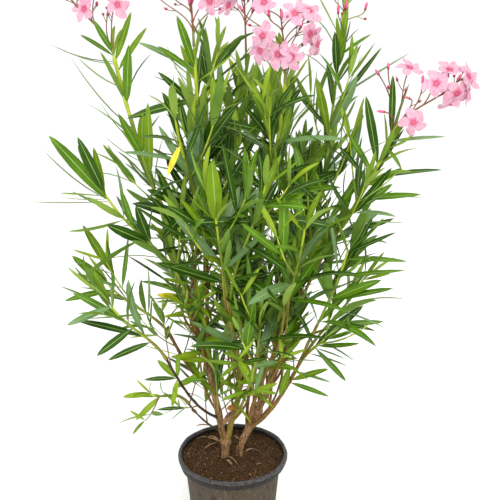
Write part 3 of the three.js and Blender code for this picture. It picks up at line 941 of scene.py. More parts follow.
# Each row is a limb's name, and then the other values of each of its leaves.
MARKED_LEAVES = (
    # The outermost shoot on the left: broad leaves that rise, thin ones seen edge-on.
    (
        "foliage_far_left",
        (0.93, -100, 132, 25, 0.95, 10),
        (1.0, -34, 118, 50, 1.0, 5, 0.02, Tissue.DARK),
        (0.98, -45, 98, 10, 1.05),
        (1.0, -12, 92, 20, 1.0, 20, 0.02, Tissue.OLIVE),
        (0.93, -150, 2, 10, 0.7, 88, -0.02, Tissue.GREY),
        (0.94, -122, 92, -20, 0.7, 85, -0.07, Tissue.GREY),
        (0.95, -84, 12, 30, 0.6, 85, -0.03, Tissue.GREY),
        (0.76, -104, -14, 30, 0.9, 65, -0.06, Tissue.OLIVE),
        (0.5, -76, 52, 40, 1.5, 10, 0.03, Tissue.DARK),
        (0.5, -20, 90, 40, 1.3, 10, 0.0, Tissue.DARK),
        (0.66, -22, 84, 10, 0.9, 20),
    ),
    # The tall flowering shoot on the left: thin leaves that curve up on its outer side.
    (
        "foliage_upper_left",
        (0.97, -120, 34, 10, 0.6, 85, -0.07, Tissue.GREY),
        (0.96, -104, 36, 30, 0.6, 80, -0.06, Tissue.GREY),
        (0.99, -58, 42, 20, 0.95, 30),
        (1.0, -32, 64, 15, 1.1, 10),
        (0.97, 38, 94, 25, 0.95, 10, 0.0, Tissue.OLIVE),
        (0.93, 58, 82, -10, 0.9, 25, 0.03, Tissue.OLIVE),
        (0.8, 12, 116, 20, 1.1, 5, 0.02),
        (0.7, -112, 140, 10, 0.4, 85, -0.08, Tissue.GREY),
        (0.87, -76, 58, 20, 0.8, 65, -0.09, Tissue.OLIVE),
        (0.63, -70, 88, 10, 0.45, 85, -0.09, Tissue.GREY),
        (0.56, -76, 58, 10, 0.6, 75, -0.06, Tissue.OLIVE),
        (0.58, -42, 92, 20, 1.05),
        (0.6, 8, 88, 35, 1.3, 5, 0.02, Tissue.OLIVE),
        (0.5, 4, 152, 25, 0.8, 10, 0.02, Tissue.OLIVE),
    ),
    ("foliage_front_left", (0.84, -22, -46, 40, 1.2, 30, 0.05, Tissue.YELLOW)),
    (
        "foliage_tall_left",
        (0.76, -128, -24, 60, 0.9, 20, 0.04, Tissue.DARK),
        (0.88, -66, 56, 40, 0.9, 20),
        (0.9, -104, 52, 20, 0.85, 30, 0.03, Tissue.GREY),
        (0.72, -70, 76, 40, 0.9, 15, 0.02, Tissue.DARK),
        (0.9, -30, 102, 30, 0.95),
    ),
    # The front: two broad leaves upright, others across.
    ("foliage_front_left", (0.42, -6, 146, 30, 1.3, 5, 0.02, Tissue.GREY)),
    ("foliage_front_centre", (0.93, -6, 120, 10, 1.6, 5, 0.02, Tissue.OLIVE)),
    ("foliage_front_upper", (0.72, -116, 2, 20, 1.1, 25, 0.05, Tissue.DARK)),
    ("foliage_front_left", (0.3, -98, 66, 50, 1.1, 20, 0.04, Tissue.DARK)),
    ("foliage_front_centre", (0.8, -88, 66, 20, 1.0, 25, 0.03, Tissue.DARK)),
    ("foliage_front_upper", (0.78, 138, -18, 20, 0.95, 20, 0.03, Tissue.DARK)),
    (
        "foliage_inner",
        (0.45, 138, 48, 60, 0.85, 25, 0.08),
        (0.74, 130, 16, 50, 0.7, 30, 0.07, Tissue.GREY),
    ),
    # Broad dark leaves in the middle of the plant, standing for its deep shade: painted shade.
    (
        "foliage_tall_left",
        (0.5, 40, 96, 40, 1.5, 10, 0.02, Tissue.DARK),
        (0.45, 62, 80, 30, 1.4, 15, 0.02, Tissue.DARK),
    ),
    (
        "foliage_inner",
        (0.5, -90, 70, 20, 1.2, 20, 0.02, Tissue.DARK),
        (0.72, -60, 84, 40, 1.0, 20, 0.02, Tissue.DARK),
    ),
    # The tall shoot in bud on the right.
    (
        "foliage_tall_right",
        (0.72, 140, 92, 10, 0.55, 60, 0.0, Tissue.GREY),
        (0.62, 46, 112, 30, 1.3, 10, 0.02, Tissue.GREY),
        (0.86, 12, 88, 14, 0.9, 20, 0.03, Tissue.OLIVE),
        (0.88, -10, 62, 20, 0.9, 15, 0.02, Tissue.OLIVE),
        (0.8, -8, 84, 20, 1.2, 10, 0.02, Tissue.DARK),
        (0.87, 34, 46, 10, 0.5, 50, 0.1, Tissue.DARK),
        (0.82, 11, 60, 24, 1.2, 15, 0.0),
        (0.86, 58, 42, 10, 0.8, 30),
        (0.86, -47, 70, 20, 0.6, 50, 0.12, Tissue.GREY),
        (0.6, -28, 118, 20, 1.0, 15, 0.02, Tissue.OLIVE),
    ),
    # The right-hand shoots: long leaves held out level.
    (
        "foliage_upper_right",
        (0.97, 100, 14, 20, 0.7, 40, 0.02, Tissue.GREY),
        (0.94, 26, -34, 30, 1.1, 30, 0.12),
        (0.78, 130, 22, 20, 0.75, 45, 0.03, Tissue.DARK),
        (0.66, 116, 16, 20, 0.95, 35, 0.02),
        (0.74, 60, 42, 30, 1.2, 15, -0.08, Tissue.OLIVE),
        (0.52, 118, 10, 30, 0.6, 70, 0.02),
        (1.0, -4, 112, 10, 0.8, 20, 0.04, Tissue.DARK),
        (1.0, 28, 96, 0, 0.5, 60, 0.0, Tissue.GREY),
        (0.85, -29, 132, 10, 0.9, 15, 0.02, Tissue.DARK),
        (0.8, -52, 84, 20, 0.9, 20),
    ),
    (
        "foliage_right_front",
        (0.92, 118, -4, 0, 0.8, 40),
        (0.97, 90, 42, 0, 0.8, 45, 0.0, Tissue.DARK),
        (0.97, 48, 54, 10, 0.8, 30, 0.0, Tissue.DARK),
        (0.78, 126, 12, 0, 0.7, 45, 0.0),
        (0.56, 98, 46, 10, 1.2, 20, 0.04),
    ),
    (
        "foliage_far_right",
        (0.97, 52, 22, 20, 0.9, 30, 0.03, Tissue.FRESH),
        (0.45, 88, -4, 30, 0.8, 40, 0.05, Tissue.DARK),
        (0.6, 92, -34, 10, 0.6, 60, 0.04, Tissue.GREY),
    ),
    (
        "foliage_low_right",
        (0.6, 84, 10, 10, 1.0, 40, -0.04),
        (0.9, 52, 24, 20, 1.1, 30, -0.04),
    ),
    (
        "bough_right_side",
        (0.72, 80, -22, 20, 0.9, 30),
        (0.85, 70, -14, 20, 0.75, 45, 0.0, Tissue.GREY),
    ),
    (
        "foliage_low_right",
        (0.25, 80, -24, 10, 0.5, 56, 0.03, Tissue.DARK),
        (0.5, 62, -20, 10, 0.5, 52, 0.03, Tissue.DARK),
        (0.78, 66, -38, 10, 0.5, 54, 0.05, Tissue.DARK),
    ),
    # The low left: leaves held out towards the left.
    (
        "foliage_left_middle",
        (0.98, -68, 72, 20, 1.3, 10),
        (0.9, -96, -12, 30, 1.0, 30, 0.04),
    ),
    (
        "foliage_left_front",
        (0.98, -86, -34, 10, 1.1, 20, 0.05, Tissue.GREY),
        (0.6, -70, -50, 20, 1.3, 15, 0.04, Tissue.DARK),
        (0.3, -84, -30, 20, 1.0, 25, 0.04, Tissue.DARK),
    ),
    (
        "foliage_lowest_left",
        (0.95, -58, -6, 0, 1.6, 40, 0.03, Tissue.FRESH),
        (0.7, -52, -50, 10, 1.2, 25, 0.03, Tissue.FRESH),
    ),
    # A whorl part of the way up the dark bough.
    (
        "bough_front_left",
        (0.74, -66, 2, 10, 1.1, 35, 0.03, Tissue.DARK),
        (0.74, -38, 46, 10, 1.6, 15, 0.02, Tissue.OLIVE),
        (0.74, 4, 60, 10, 1.2, 20, 0.03, Tissue.OLIVE),
        (0.74, -12, -60, 10, 1.3, 15, 0.03, Tissue.FRESH),
        (0.7, 54, 12, 15, 1.0, 25, 0.05),
    ),
    # The low middle: yellow-green leaves in front of the bare stems.
    (
        "bough_front",
        (0.1, 58, 36, 25, 1.6, 15, 0.04, Tissue.FRESH),
        (0.35, 118, 4, 40, 1.0, 25, 0.05, Tissue.OLIVE),
        (0.06, -38, 32, 25, 1.4, 15, 0.0, Tissue.FRESH),
    ),
    ("limb_left", (0.95, -72, -24, 30, 1.2, 20, 0.04, Tissue.FRESH)),
    ("bough_tall_left", (0.05, -78, 26, 30, 1.2, 20, 0.05, Tissue.FRESH)),
    (
        "bough_right_side",
        (0.52, 20, 82, 20, 1.2, 15, 0.02, Tissue.OLIVE),
        (0.74, 76, 34, 15, 1.1, 25, 0.03, Tissue.OLIVE),
    ),
    (
        "bough_low_centre",
        (0.95, -30, 56, 20, 1.4, 15, 0.03, Tissue.OLIVE),
        (0.6, 64, 40, 20, 1.2, 20, 0.03, Tissue.FRESH),
    ),
    (
        "bough_outer_left",
        (0.35, 62, 24, 50, 1.2, 20, 0.04, Tissue.OLIVE),
        (0.2, -52, 8, 40, 1.4, 20, 0.04, Tissue.FRESH),
    ),
    # Withered leaves in the fork and on the outer left bough.
    (
        "limb_centre",
        (0.72, -17, 9, 20, 3.2, 15, 0.1, Tissue.DRY),
        (0.68, -25, -24, 20, 2.4, 20, 0.12, Tissue.BROWN),
    ),
    (
        "bough_lowest_left",
        (0.62, -14, 20, 12, 2.0, 30, 0.3, Tissue.BROWN),
        (0.2, -32, 6, 10, 0.7, 40, 0.2, Tissue.BROWN),
    ),
    ("trunk_left", (0.8, -34, 10, -6, 0.6, 40, 0.2, Tissue.BROWN)),
    ("trunk_right", (0.3, -16, 24, 16, 0.8, 30, 0.25, Tissue.BROWN)),
    ("bough_outer_left", (0.95, -54, 24, 40, 1.3, 20, 0.05, Tissue.YELLOW)),
)


@dataclass
class Limb:
    """A grown limb: its row, its course, and the spot on its parent's own line that it is from."""

    row: Row
    course: Course
    root: Array

    def radius(self, share: float | Array) -> float | Array:
        """The radius at a share of the way, in metres."""
        return mix(*self.row.radii, share) * MM


@dataclass
class Skeleton:
    """Trunks, boughs and the stems of the leafy masses, each grown from its seat on another.

    A form is a limb's bend and how upright it ends. seat_gap keeps a limb clear of its parent,
    and side_lean turns a limb that leaves another's side outwards.
    """

    seat_gap: float = 0.3 * MM
    trunk_form: Pair = (0.36, 0.0)
    bough_form: Pair = (0.36, 0.25)
    stem_form: Pair = (0.34, 0.3)
    side_lean: float = 0.35
    limbs: dict[str, Limb] = field(default_factory=dict)

    def grow(self) -> None:
        """Grows every limb, trunks first."""
        for row in TRUNK_ROWS:
            foot = TRUNK_FEET[row.name]
            self.limbs[row.name] = Limb(row, reach(foot, UP, row.tip, *self.trunk_form), foot)
        for rows, form in ((BOUGH_ROWS, self.bough_form), (MASS_ROWS, self.stem_form)):
            for row in rows:
                self.limbs[row.name] = self.grow_limb(row, rows, form)

    def grow_limb(self, row: Row, rows: tuple[Row, ...], form: Pair) -> Limb:
        """Grows one limb on its parent, side by side with its fellows or off the parent's side.

        Args:
            row: the limb's row.
            rows: the table that its fellows are in.
            form: its bend and how upright it ends.

        Returns:
            The limb.
        """
        parent = self.limbs[row.on]
        base = stance(parent.course, row.along)
        if row.along < 1:
            chord = row.tip - base.spot
            outward = unit(chord - base.along * (chord @ base.along))
            leave = unit(mix(unit(chord), outward, self.side_lean))
            start = base.spot + leave * parent.radius(row.along)
            return Limb(row, reach(start, leave, row.tip, *form), base.spot)
        fellows = [other for other in rows if other.on == row.on and other.along == 1]
        start = base.spot + base.along * self.seat_gap
        if len(fellows) > 1:
            offset = (row.radii[0] * MM + self.seat_gap) / math.sin(math.pi / len(fellows))
            start = start + self.slot(base, row, fellows) * offset
        return Limb(row, reach(start, base.along, row.tip, *form), base.spot)

    def slot(self, base: Stance, row: Row, fellows: list[Row]) -> Array:
        """The direction from a tip to one of the limbs on it, which stand evenly round it.

        Args:
            base: the stance at the tip.
            row: the limb's row.
            fellows: the rows of all the limbs on the tip.

        Returns:
            The direction.
        """

        def bearing(other: Row) -> float:
            """Which way round the tip a limb is bound."""
            chord = other.tip - base.spot
            return math.atan2(chord @ base.front, chord @ base.side)

        ordered = sorted(fellows, key=bearing)
        turn = bearing(ordered[0]) + FULL_TURN * ordered.index(row) / len(ordered)
        return base.turned(math.pi / 2, turn)


@dataclass
class Wood:
    """Trunks and boughs with their bark: ridges, leaf scars, swellings at forks, flared feet.

    Rings stand ring_gap apart. A ridge is a field of waves read round a narrow cylinder that is
    pressed together lengthways, so that ridges run along the limb. Scars stand scar_gap apart,
    moved on by scar_shift from limb to limb and by scar_turn round it. flare widens a trunk's
    foot over flare_share of its length, with lobes three and five times round it.
    """

    skeleton: Skeleton
    trunk_sides: int = 28
    bough_sides: int = 16
    ring_gap: float = 2.6 * MM
    fewest_rings: int = 8
    ridge: float = 0.32 * MM
    ridge_waves: Pair = (9 * MM, 2.2 * MM)
    ridge_girth: float = 6 * MM
    ridge_press: float = 0.4
    trunk_relief: float = 1.6
    scar: float = 0.5 * MM
    scar_gap: float = 27 * MM
    scar_length: float = 2.2 * MM
    scar_shift: float = 3 * MM
    scar_turn: float = 1.05
    flare: float = 0.15
    flare_share: float = 0.24
    lobes: Pair = (0.1, 0.06)
    swell: float = 0.2
    foot_swell: float = 0.4
    swell_length: float = 11 * MM
    join_share: float = 0.16
    old_radius: float = 5
    dome: Pair = (0.3, 1.45)
    dome_rings: int = 4

    def path(self, limb: Limb) -> Array:
        """The middle line as it is seen: it starts on its parent's own line and eases out.

        The easing is 3 e squared - 2 e cubed, where e falls from 1 to 0 over the join.

        Args:
            limb: the limb.

        Returns:
            The middle of each ring.
        """
        count = max(self.fewest_rings, round(limb.course.length() / self.ring_gap))
        shares = np.linspace(0, 1, count)
        ease = np.clip(1 - shares / self.join_share, 0, 1)
        ease = ease * ease * (3 - 2 * ease)
        shift = limb.root - limb.course.guides[0]
        return limb.course.spots(shares) + ease[:, None] * shift

    def swelling(self, distance: Array, trunk: bool) -> Array:
        """How much wider each ring is: a bell curve of its distance from the limb's ends.

        Args:
            distance: how far along the limb each ring is.
            trunk: whether it is a trunk, which swells at its tip only.

        Returns:
            A factor for each ring.
        """
        tips = np.exp(-(((distance[-1] - distance) / self.swell_length) ** 2))
        feet = np.exp(-((distance / self.swell_length) ** 2))
        return 1 + self.swell * tips + (0 if trunk else self.foot_swell) * feet

    def relief(self, distance: Array, radii: Array, trunk: bool, seed: int) -> Array:
        """How far each corner stands out: ridges + scars, and at a trunk's foot its flare.

        A ridge is a wave in turn and length. A scar is a ring that swells by a bell curve, most
        on three sides. The flare grows with the square of the nearness to the ground.

        Args:
            distance: how far along the limb each ring is.
            radii: the radius of each ring.
            trunk: whether it is a trunk.
            seed: the limb's number.

        Returns:
            The relief, a row for each ring.
        """
        sides = self.trunk_sides if trunk else self.bough_sides
        turn = (FULL_TURN * np.arange(sides) / sides)[None]
        along = distance[:, None]
        around = (self.ridge_girth * np.cos(turn), self.ridge_girth * np.sin(turn))
        spots = np.stack(np.broadcast_arrays(along * self.ridge_press, *around), axis=-1)
        ridges = self.ridge * waves(spots, *self.ridge_waves, seed)
        phase = (along + self.scar_shift * seed) / self.scar_gap
        nearest = np.round(phase)
        bell = np.exp(-(((phase - nearest) * self.scar_gap / self.scar_length) ** 2))
        scars = self.scar * bell * (1 + np.cos(3 * turn + self.scar_turn * nearest)) / 2
        if not trunk:
            return ridges + scars
        nearness = np.clip(1 - distance / distance[-1] / self.flare_share, 0, 1)[:, None]
        threes, fives = self.lobes
        lobes = threes * np.cos(3 * turn + seed) + fives * np.cos(5 * turn + 2 * seed)
        return self.trunk_relief * ridges + scars + radii[:, None] * nearness**2 * (self.flare + lobes)

    def limb_shape(self, limb: Limb, seed: int) -> Shape:
        """A limb: a tube with its relief, closed at its tip by a dome whose rings shrink in a cosine.

        Args:
            limb: the limb.
            seed: its number, for its relief.

        Returns:
            The shape.
        """
        path = self.path(limb)
        run = np.linalg.norm(np.diff(path, axis=0), axis=1)
        distance = np.concatenate([[0], np.cumsum(run)])
        trunk = limb.row.on == ""
        usual = Bark.OLD if limb.row.radii[0] > self.old_radius else Bark.YOUNG
        age, thickness = LIMB_LOOKS.get(limb.row.name, (usual, 1.0))
        radii = limb.radius(distance / distance[-1]) * thickness * self.swelling(distance, trunk)
        relief = self.relief(distance, radii, trunk, seed)
        dome = np.linspace(*self.dome, self.dome_rings)
        cap = path[-1] + unit(path[-1] - path[-2]) * (np.sin(dome) * radii[-1])[:, None]
        path = np.concatenate([path, cap])
        radii = np.concatenate([radii, radii[-1] * np.cos(dome)])
        relief = np.concatenate([relief, np.cos(dome)[:, None] * relief[-1:]])
        return tube(path, radii, relief.shape[1], age, relief)

    def build(self) -> None:
        """Joins the trunks and boughs into one piece with relief."""
        rows = TRUNK_ROWS + BOUGH_ROWS
        shapes = [self.limb_shape(self.skeleton.limbs[row.name], i) for i, row in enumerate(rows)]
        names = [row.name for row in rows]
        piece("bark_of_trunks_and_boughs", joined(shapes), BARK_FINISHES, names)


class Leaf(NamedTuple):
    """A leaf: its root, the way it leaves, the way its upper side faces, its form and its kind.

    width is against the usual, arch and droop are shares of the length, and twist is an angle.
    """

    root: Array
    heading: Array
    crown: Array
    length: float
    width: float
    arch: float
    droop: float
    twist: float
    tissue: int


@dataclass
class LeafBed:
    """Leaves gathered to be shaped all at once: narrow blades folded a little along a midrib.

    Half a blade's section runs from the keel under the rib by the rib's edge and a bend to the
    margin. rib and bend are shares of the half width, fold is the margin's lift as a share of it
    and bend_lift the bend's share of that, and the depths are shares of the thickness.
    """

    width_share: float = 0.145
    thickness: float = 0.5 * MM
    fold: float = 0.16
    rib: float = 0.065
    rib_depth: float = 0.35
    bend: float = 0.52
    bend_lift: float = 0.42
    bend_depth: float = 0.6
    keel: float = 0.7 * MM
    strap_power: float = 0.62
    stalk_share: float = 0.14
    stalk: Pair = (0.08, 0.02)
    thin_share: float = 0.25
    thinnest: float = 0.15
    stations: tuple[float, ...] = (0.0, 0.06, 0.17, 0.36, 0.58, 0.78, 0.92, 1.0)
    leaves: list[Leaf] = field(default_factory=list)

    def outline(self, share: Array) -> Array:
        """Half the width at shares of the length: a short stalk, then a long strap.

        The strap is the sine of half a turn along the length, raised to a power below 1.

        Args:
            share: shares of the length, from 0 to 1.

        Returns:
            The half width at each, as a share of the widest.
        """
        strap = np.sin(math.pi * np.clip(share, 0, 1)) ** self.strap_power
        rise = np.sqrt(np.clip(share / self.stalk_share, 0, 1))
        return np.maximum(strap * rise, mix(*self.stalk, share))

    def shape(self) -> Shape:
        """All the leaves at once: seven corners round each blade at each station.

        The middle line is root + length * (share * heading + 4 * arch * share * (1 - share) *
        crown) - droop * length * share squared * up. A corner lies across it by a share of the
        half width and out of it by the fold, and the whole section turns with the twist.

        Returns:
            The shape.
        """
        *places, length, wide, arch, droop, twist, _ = (
            np.array(column)[:, None, None] for column in zip(*self.leaves)
        )
        roots, heading, crown = (place[:, 0] for place in places)
        u = np.array(self.stations)[None, :, None]
        spine = roots + length * (u * heading + 4 * arch * u * (1 - u) * crown - droop * u * u * UP)
        run = unit(heading + 4 * arch * (1 - 2 * u) * crown - 2 * droop * u * UP)
        across = np.broadcast_to(unit(np.cross(heading, crown)), run.shape)
        normal = unit(np.cross(across, run))
        cosine, sine = np.cos(twist * u), np.sin(twist * u)
        across, normal = across * cosine + normal * sine, normal * cosine - across * sine
        half = length * wide * self.width_share / 2 * self.outline(u)
        spots = np.array([-1, -self.bend, -self.rib, self.rib, self.bend, 1, 0])
        lifts = np.array([1, self.bend_lift, 0, 0, self.bend_lift, 1, 0]) * self.fold
        skin = (self.bend_depth, self.rib_depth)
        depths = np.array([0, *skin, *skin[::-1], 0, 0]) * self.thickness
        depths[-1] = -self.keel
        thin = np.clip((1 - u) / self.thin_share, self.thinnest, 1)
        corners = (
            spine[:, :, None]
            + across[:, :, None] * (half * spots)[..., None]
            + normal[:, :, None] * (half * lifts + thin * depths)[..., None]
        )
        count, rings, around = corners.shape[:3]
        starts = (np.arange(count) * rings * around)[:, None, None]
        blocks = capped(rings, around)
        faces = [(starts + block[None]).reshape(-1, block.shape[1]) for block in blocks]
        return Shape(corners.reshape(-1, 3), faces, self.finishes(rings))

    def finishes(self, rings: int) -> list[Array]:
        """The finish of each face: the leaf's own above, the midrib's between, paler below.

        Args:
            rings: how many rings a leaf has.

        Returns:
            The finish numbers of the bands and of the caps at both ends.
        """
        tissue = np.array([leaf.tissue for leaf in self.leaves])
        withered = np.isin(tissue, (Tissue.YELLOW, Tissue.DRY, Tissue.BROWN))
        pale = np.isin(tissue, (Tissue.FRESH, Tissue.OLIVE))
        under = np.where(pale, Tissue.UNDER_FRESH, Tissue.UNDER)
        under = np.where(withered, tissue, under)
        rib = np.where(withered, tissue, Tissue.RIB)
        strip = np.stack([tissue, tissue, rib, tissue, tissue, under, under], axis=1)
        bands = np.repeat(strip[:, None], rings - 1, axis=1).reshape(-1)
        return [bands, tissue, tissue]


@dataclass
class Twigs:
    """Green twigs gathered to be joined: slender tubes with a small swelling at each whorl."""

    sides: int = 7
    ring_gap: float = 9 * MM
    fewest_rings: int = 6
    join_share: float = 0.15
    foot_swell: float = 0.25
    foot_length: float = 6 * MM
    node_swell: float = 0.1
    node_gap: float = 40 * MM
    blunt: float = 0.4
    shapes: list[Shape] = field(default_factory=list)

    def add(self, course: Course, radii: Pair, root: Array, ages: tuple[Bark, ...]) -> None:
        """Adds a twig that starts on its parent's own line and eases out of it by a square.

        A ring's radius falls evenly, times 1 + a fading swell at the foot, times 1 + a cosine
        that peaks at each whorl.

        Args:
            course: the twig's course.
            radii: its radius in mm at its foot and tip.
            root: the spot on its parent's own line.
            ages: its skins from its foot to its tip.
        """
        length = course.length()
        count = max(self.fewest_rings, round(length / self.ring_gap))
        share = np.linspace(0, 1, count)
        ease = np.clip(1 - share / self.join_share, 0, 1)[:, None] ** 2
        path = course.spots(share) + ease * (root - course.guides[0])
        foot = self.foot_swell * np.exp(-share * length / self.foot_length)
        node = self.node_swell * np.cos(FULL_TURN * share * length / self.node_gap)
        thick = mix(*radii, share) * MM * (1 + foot) * (1 + node)
        thick[-1] = thick[-1] * self.blunt
        shape = tube(path, thick, self.sides, 0)
        ring = np.arange(count - 1) * len(ages) // (count - 1)
        shape.finishes[0] = np.repeat(np.array(ages)[ring], self.sides)
        shape.finishes[1][:] = ages[0]
        shape.finishes[2][:] = ages[-1]
        self.shapes.append(shape)


@dataclass(frozen=True)
class Greens:
    """The chances of each kind of leaf: fresh at a shoot's tip and low down, dark in the heart.

    pale is the least share of fresh and olive leaves below pale_height, and fresh is the share
    of these that are fresh at a shoot's foot and tip. Past tip_age all are fresh or olive. dark
    is the share of dark ones below a shoot's middle and from there on, and heart_dark the share
    less than heart from the pot's axis, where the dark leaves are painted shade. Of the others,
    those drawn past olive in the upper half are olive, and those drawn past grey are grey.
    """

    heart: float = 0.13
    pale_height: float = 0.46
    pale: float = 0.45
    fresh: Pair = (0.15, 0.6)
    tip_age: float = 0.86
    tip_fresh: float = 0.35
    middle: float = 0.5
    dark: Pair = (0.4, 0.28)
    heart_dark: float = 0.7
    olive: float = 0.86
    grey: float = 0.76

    def pick(self, age: float, spot: Array, habit: Habit, stream: Stream) -> Tissue:
        """Which kind of leaf grows at a place.

        Args:
            age: how far up its shoot it is, from 0 to 1.
            spot: where it is attached.
            habit: the habit of its shoot.
            stream: the stem's own numbers.

        Returns:
            The kind.
        """
        chance = stream.draw()
        low = spot[2] < self.pale_height
        if stream.draw() < max(habit.fresh, self.pale if low else 0):
            return Tissue.FRESH if chance < mix(*self.fresh, age) else Tissue.OLIVE
        if age > self.tip_age:
            return Tissue.FRESH if chance < self.tip_fresh else Tissue.OLIVE
        # Near the pot's axis most leaves are dark green: painted shade for the plant's shaded heart.
        deep = math.hypot(spot[0], spot[1]) < self.heart
        if chance < (self.heart_dark if deep else self.dark[age >= self.middle]):
            return Tissue.DARK
        if age > self.middle and chance > self.olive:
            return Tissue.OLIVE
        # Grey-green leaves: partly pale undersides, partly a painted sheen.
        return Tissue.MID if chance < self.grey else Tissue.GREY


@dataclass(frozen=True)
class Shoot:
    """A leafy shoot: its course and radius, how its leaves sit, and how far they may reach.

    A leaf's tip lies less than room in mm from one of the points of line. stream is the stem's
    own numbers, and bed is where the leaves are gathered.
    """

    course: Course
    radius: float
    habit: Habit
    room: float
    line: Array
    stream: Stream
    bed: LeafBed


@dataclass
class Foliage:
    """The leafy masses: a stem, side shoots and finer twigs, all with leaves in whorls of three.

    stagger is how far in mm a whorl's first leaf stands below its level, and each next one more.
    The scatters widen the draw of a leaf's angles and size. hang is how steeply a leaf may point
    down, and end_on how straight it may point at the viewer, both as the direction's share. edge
    keeps its tip inside the solids' box. A bough thicker than sucker_least in mm bears suckers.
    """

    skeleton: Skeleton
    greens: Greens = Greens()
    leaf_length: float = 158 * MM
    whorl: int = 3
    fewest_whorls: int = 2
    stagger: Pair = (2, 2.5)
    tries: int = 8
    open_scatter: float = 40
    open_power: float = 0.8
    turn_scatter: float = 0.8
    size_scatter: float = 0.3
    young_power: float = 3
    sag: float = 0.1
    droop: float = 0.22
    stiffening: float = 0.6
    roll: float = 0.45
    arch: Pair = (-0.07, 0.09)
    twist: float = 0.6
    widths: Pair = (0.68, 1.12)
    sunk: float = 0.5
    hang: float = 0.12
    end_on: float = 0.87
    edge: float = 4 * MM
    line_points: int = 13
    shoot_form: Pair = (0.34, 0.3)
    fewest_suckers: int = 2
    sucker_room: float = 260
    sucker_least: float = 4.1
    bare_trunk: float = 0.6
    woody_height: float = 0.42
    olive_height: float = 0.55
    stem_ages: tuple[Bark, ...] = (Bark.OLIVE,) * 2 + (Bark.GREEN,) * 3 + (Bark.LIME,)
    marked_twist: float = 0.1
    bed: LeafBed = field(default_factory=LeafBed)
    low_bed: LeafBed = field(default_factory=LeafBed)
    twigs: Twigs = field(default_factory=Twigs)

    def inside(self, tip: Array) -> bool:
        """Whether a leaf's tip lies within the box of the solids."""
        low, high = (np.array(corner) for corner in CAD_BOX)
        return bool(np.all(tip > low + self.edge) and np.all(tip < high - self.edge))

    def try_leaf(self, shoot: Shoot, base: Stance, age: float, turn: float) -> bool:
        """Draws a leaf, and keeps it if it stays in its room and turns its side to the viewer.

        Args:
            shoot: the shoot that it grows on.
            base: the stance where it is attached.
            age: how far up the shoot that is, from 0 to 1.
            turn: which way round the shoot it is meant to point.

        Returns:
            Whether it was kept.
        """
        habit, stream = shoot.habit, shoot.stream
        turn = turn + self.turn_scatter * stream.between(-0.5, 0.5)
        lean = mix(habit.open_low, habit.open_top, age**self.open_power)
        opening = math.radians(lean + self.open_scatter * stream.between(-0.5, 0.5))
        heading = unit(base.turned(opening, turn) - UP * self.sag * stream.draw())
        youth = habit.size * mix(1, habit.young, age**self.young_power)
        size = self.leaf_length * youth * (1 - self.size_scatter * stream.draw())
        droop = self.droop * stream.draw() * (1 - age * self.stiffening)
        tip = base.spot + heading * size - UP * droop * size
        near = np.min(np.linalg.norm(shoot.line - tip, axis=1)) < shoot.room * MM
        held = heading[2] > -self.hang and heading @ TO_VIEWER < self.end_on
        if not (near and held and self.inside(tip)):
            return False
        across = unit(np.cross(heading, base.along))
        roll = stream.between(-self.roll, self.roll)
        crown = np.cross(across, heading) * math.cos(roll) + across * math.sin(roll)
        arch = stream.between(*self.arch)
        twist = stream.between(-self.twist, self.twist)
        kind = self.greens.pick(age, base.spot, habit, stream)
        width = habit.width * stream.between(*self.widths)
        root = base.spot + heading * shoot.radius * self.sunk
        leaf = Leaf(root, heading, crown, size, width, arch, droop, twist, kind)
        shoot.bed.leaves.append(leaf)
        return True

    def whorls(self, shoot: Shoot) -> None:
        """Sets leaves in whorls up a shoot, wide open and long below, close and short on top.

        Args:
            shoot: the shoot.
        """
        habit, length = shoot.habit, shoot.course.length()
        count = max(self.fewest_whorls, round(length * (1 - habit.bare) / habit.gap))
        for step in range(self.whorl, self.whorl * (count + 1)):
            level, place = divmod(step, self.whorl)
            age = level / count
            below = (self.stagger[0] + self.stagger[1] * place) * MM / length
            base = stance(shoot.course, mix(habit.bare, habit.top, age) - below)
            turn = FULL_TURN * (step + level / 2) / self.whorl
            for _ in range(self.tries):
                if self.try_leaf(shoot, base, age, turn):
                    break

    def side_shoots(
        self, limb: Course, growth: Growth, count: int, room: float, stream: Stream, bed: LeafBed
    ) -> None:
        """Grows side shoots of one kind along a limb, turned on from one to the next.

        Args:
            limb: the limb's course.
            growth: the kind.
            count: how many.
            room: how far in mm a leaf's tip may be from the limb.
            stream: the limb's own numbers.
            bed: where the leaves are gathered.
        """
        line = limb.spots(np.linspace(0, 1, self.line_points))
        for i in range(count):
            share = mix(*growth.span, (i + stream.draw()) / count)
            base = stance(limb, share)
            turn = i * GOLDEN_TURN + FULL_TURN * stream.draw()
            heading = base.turned(math.radians(growth.opening), turn)
            length = (1 - growth.taper * share) * stream.between(*growth.length)
            tip = base.spot + (growth.aside * heading + growth.rise * UP) * length
            course = reach(base.spot, heading, tip, *self.shoot_form)
            ages = growth.ages if base.spot[2] < self.woody_height else growth.ages[1:]
            self.twigs.add(course, growth.radii, base.spot, ages)
            radius = growth.radii[1] * MM
            self.whorls(Shoot(course, radius, growth.habit, room, line, stream, bed))

    def grow_mass(self, row: Row, seed: int) -> None:
        """Grows one mass: its stem, side shoots round it, and leaves on all of them.

        Args:
            row: the mass's row.
            seed: its number, which starts its stream as in the solids.
        """
        stream = Stream(seed)
        stem, habit = self.skeleton.limbs[row.name], row.habit
        line = stem.course.spots(np.linspace(0, 1, self.line_points))
        low = stem.course.guides[0][2] < self.olive_height
        ages = self.stem_ages if low else self.stem_ages[2:]
        self.twigs.add(stem.course, habit.stem, stem.root, ages)
        radius = habit.stem[1] * MM
        self.whorls(Shoot(stem.course, radius, habit, row.room, line, stream, self.bed))
        growth = SPURS if habit is SPARSE else SIDE_SHOOTS
        count = row.shoots + habit.extra
        self.side_shoots(stem.course, growth, count, row.room, stream, self.bed)

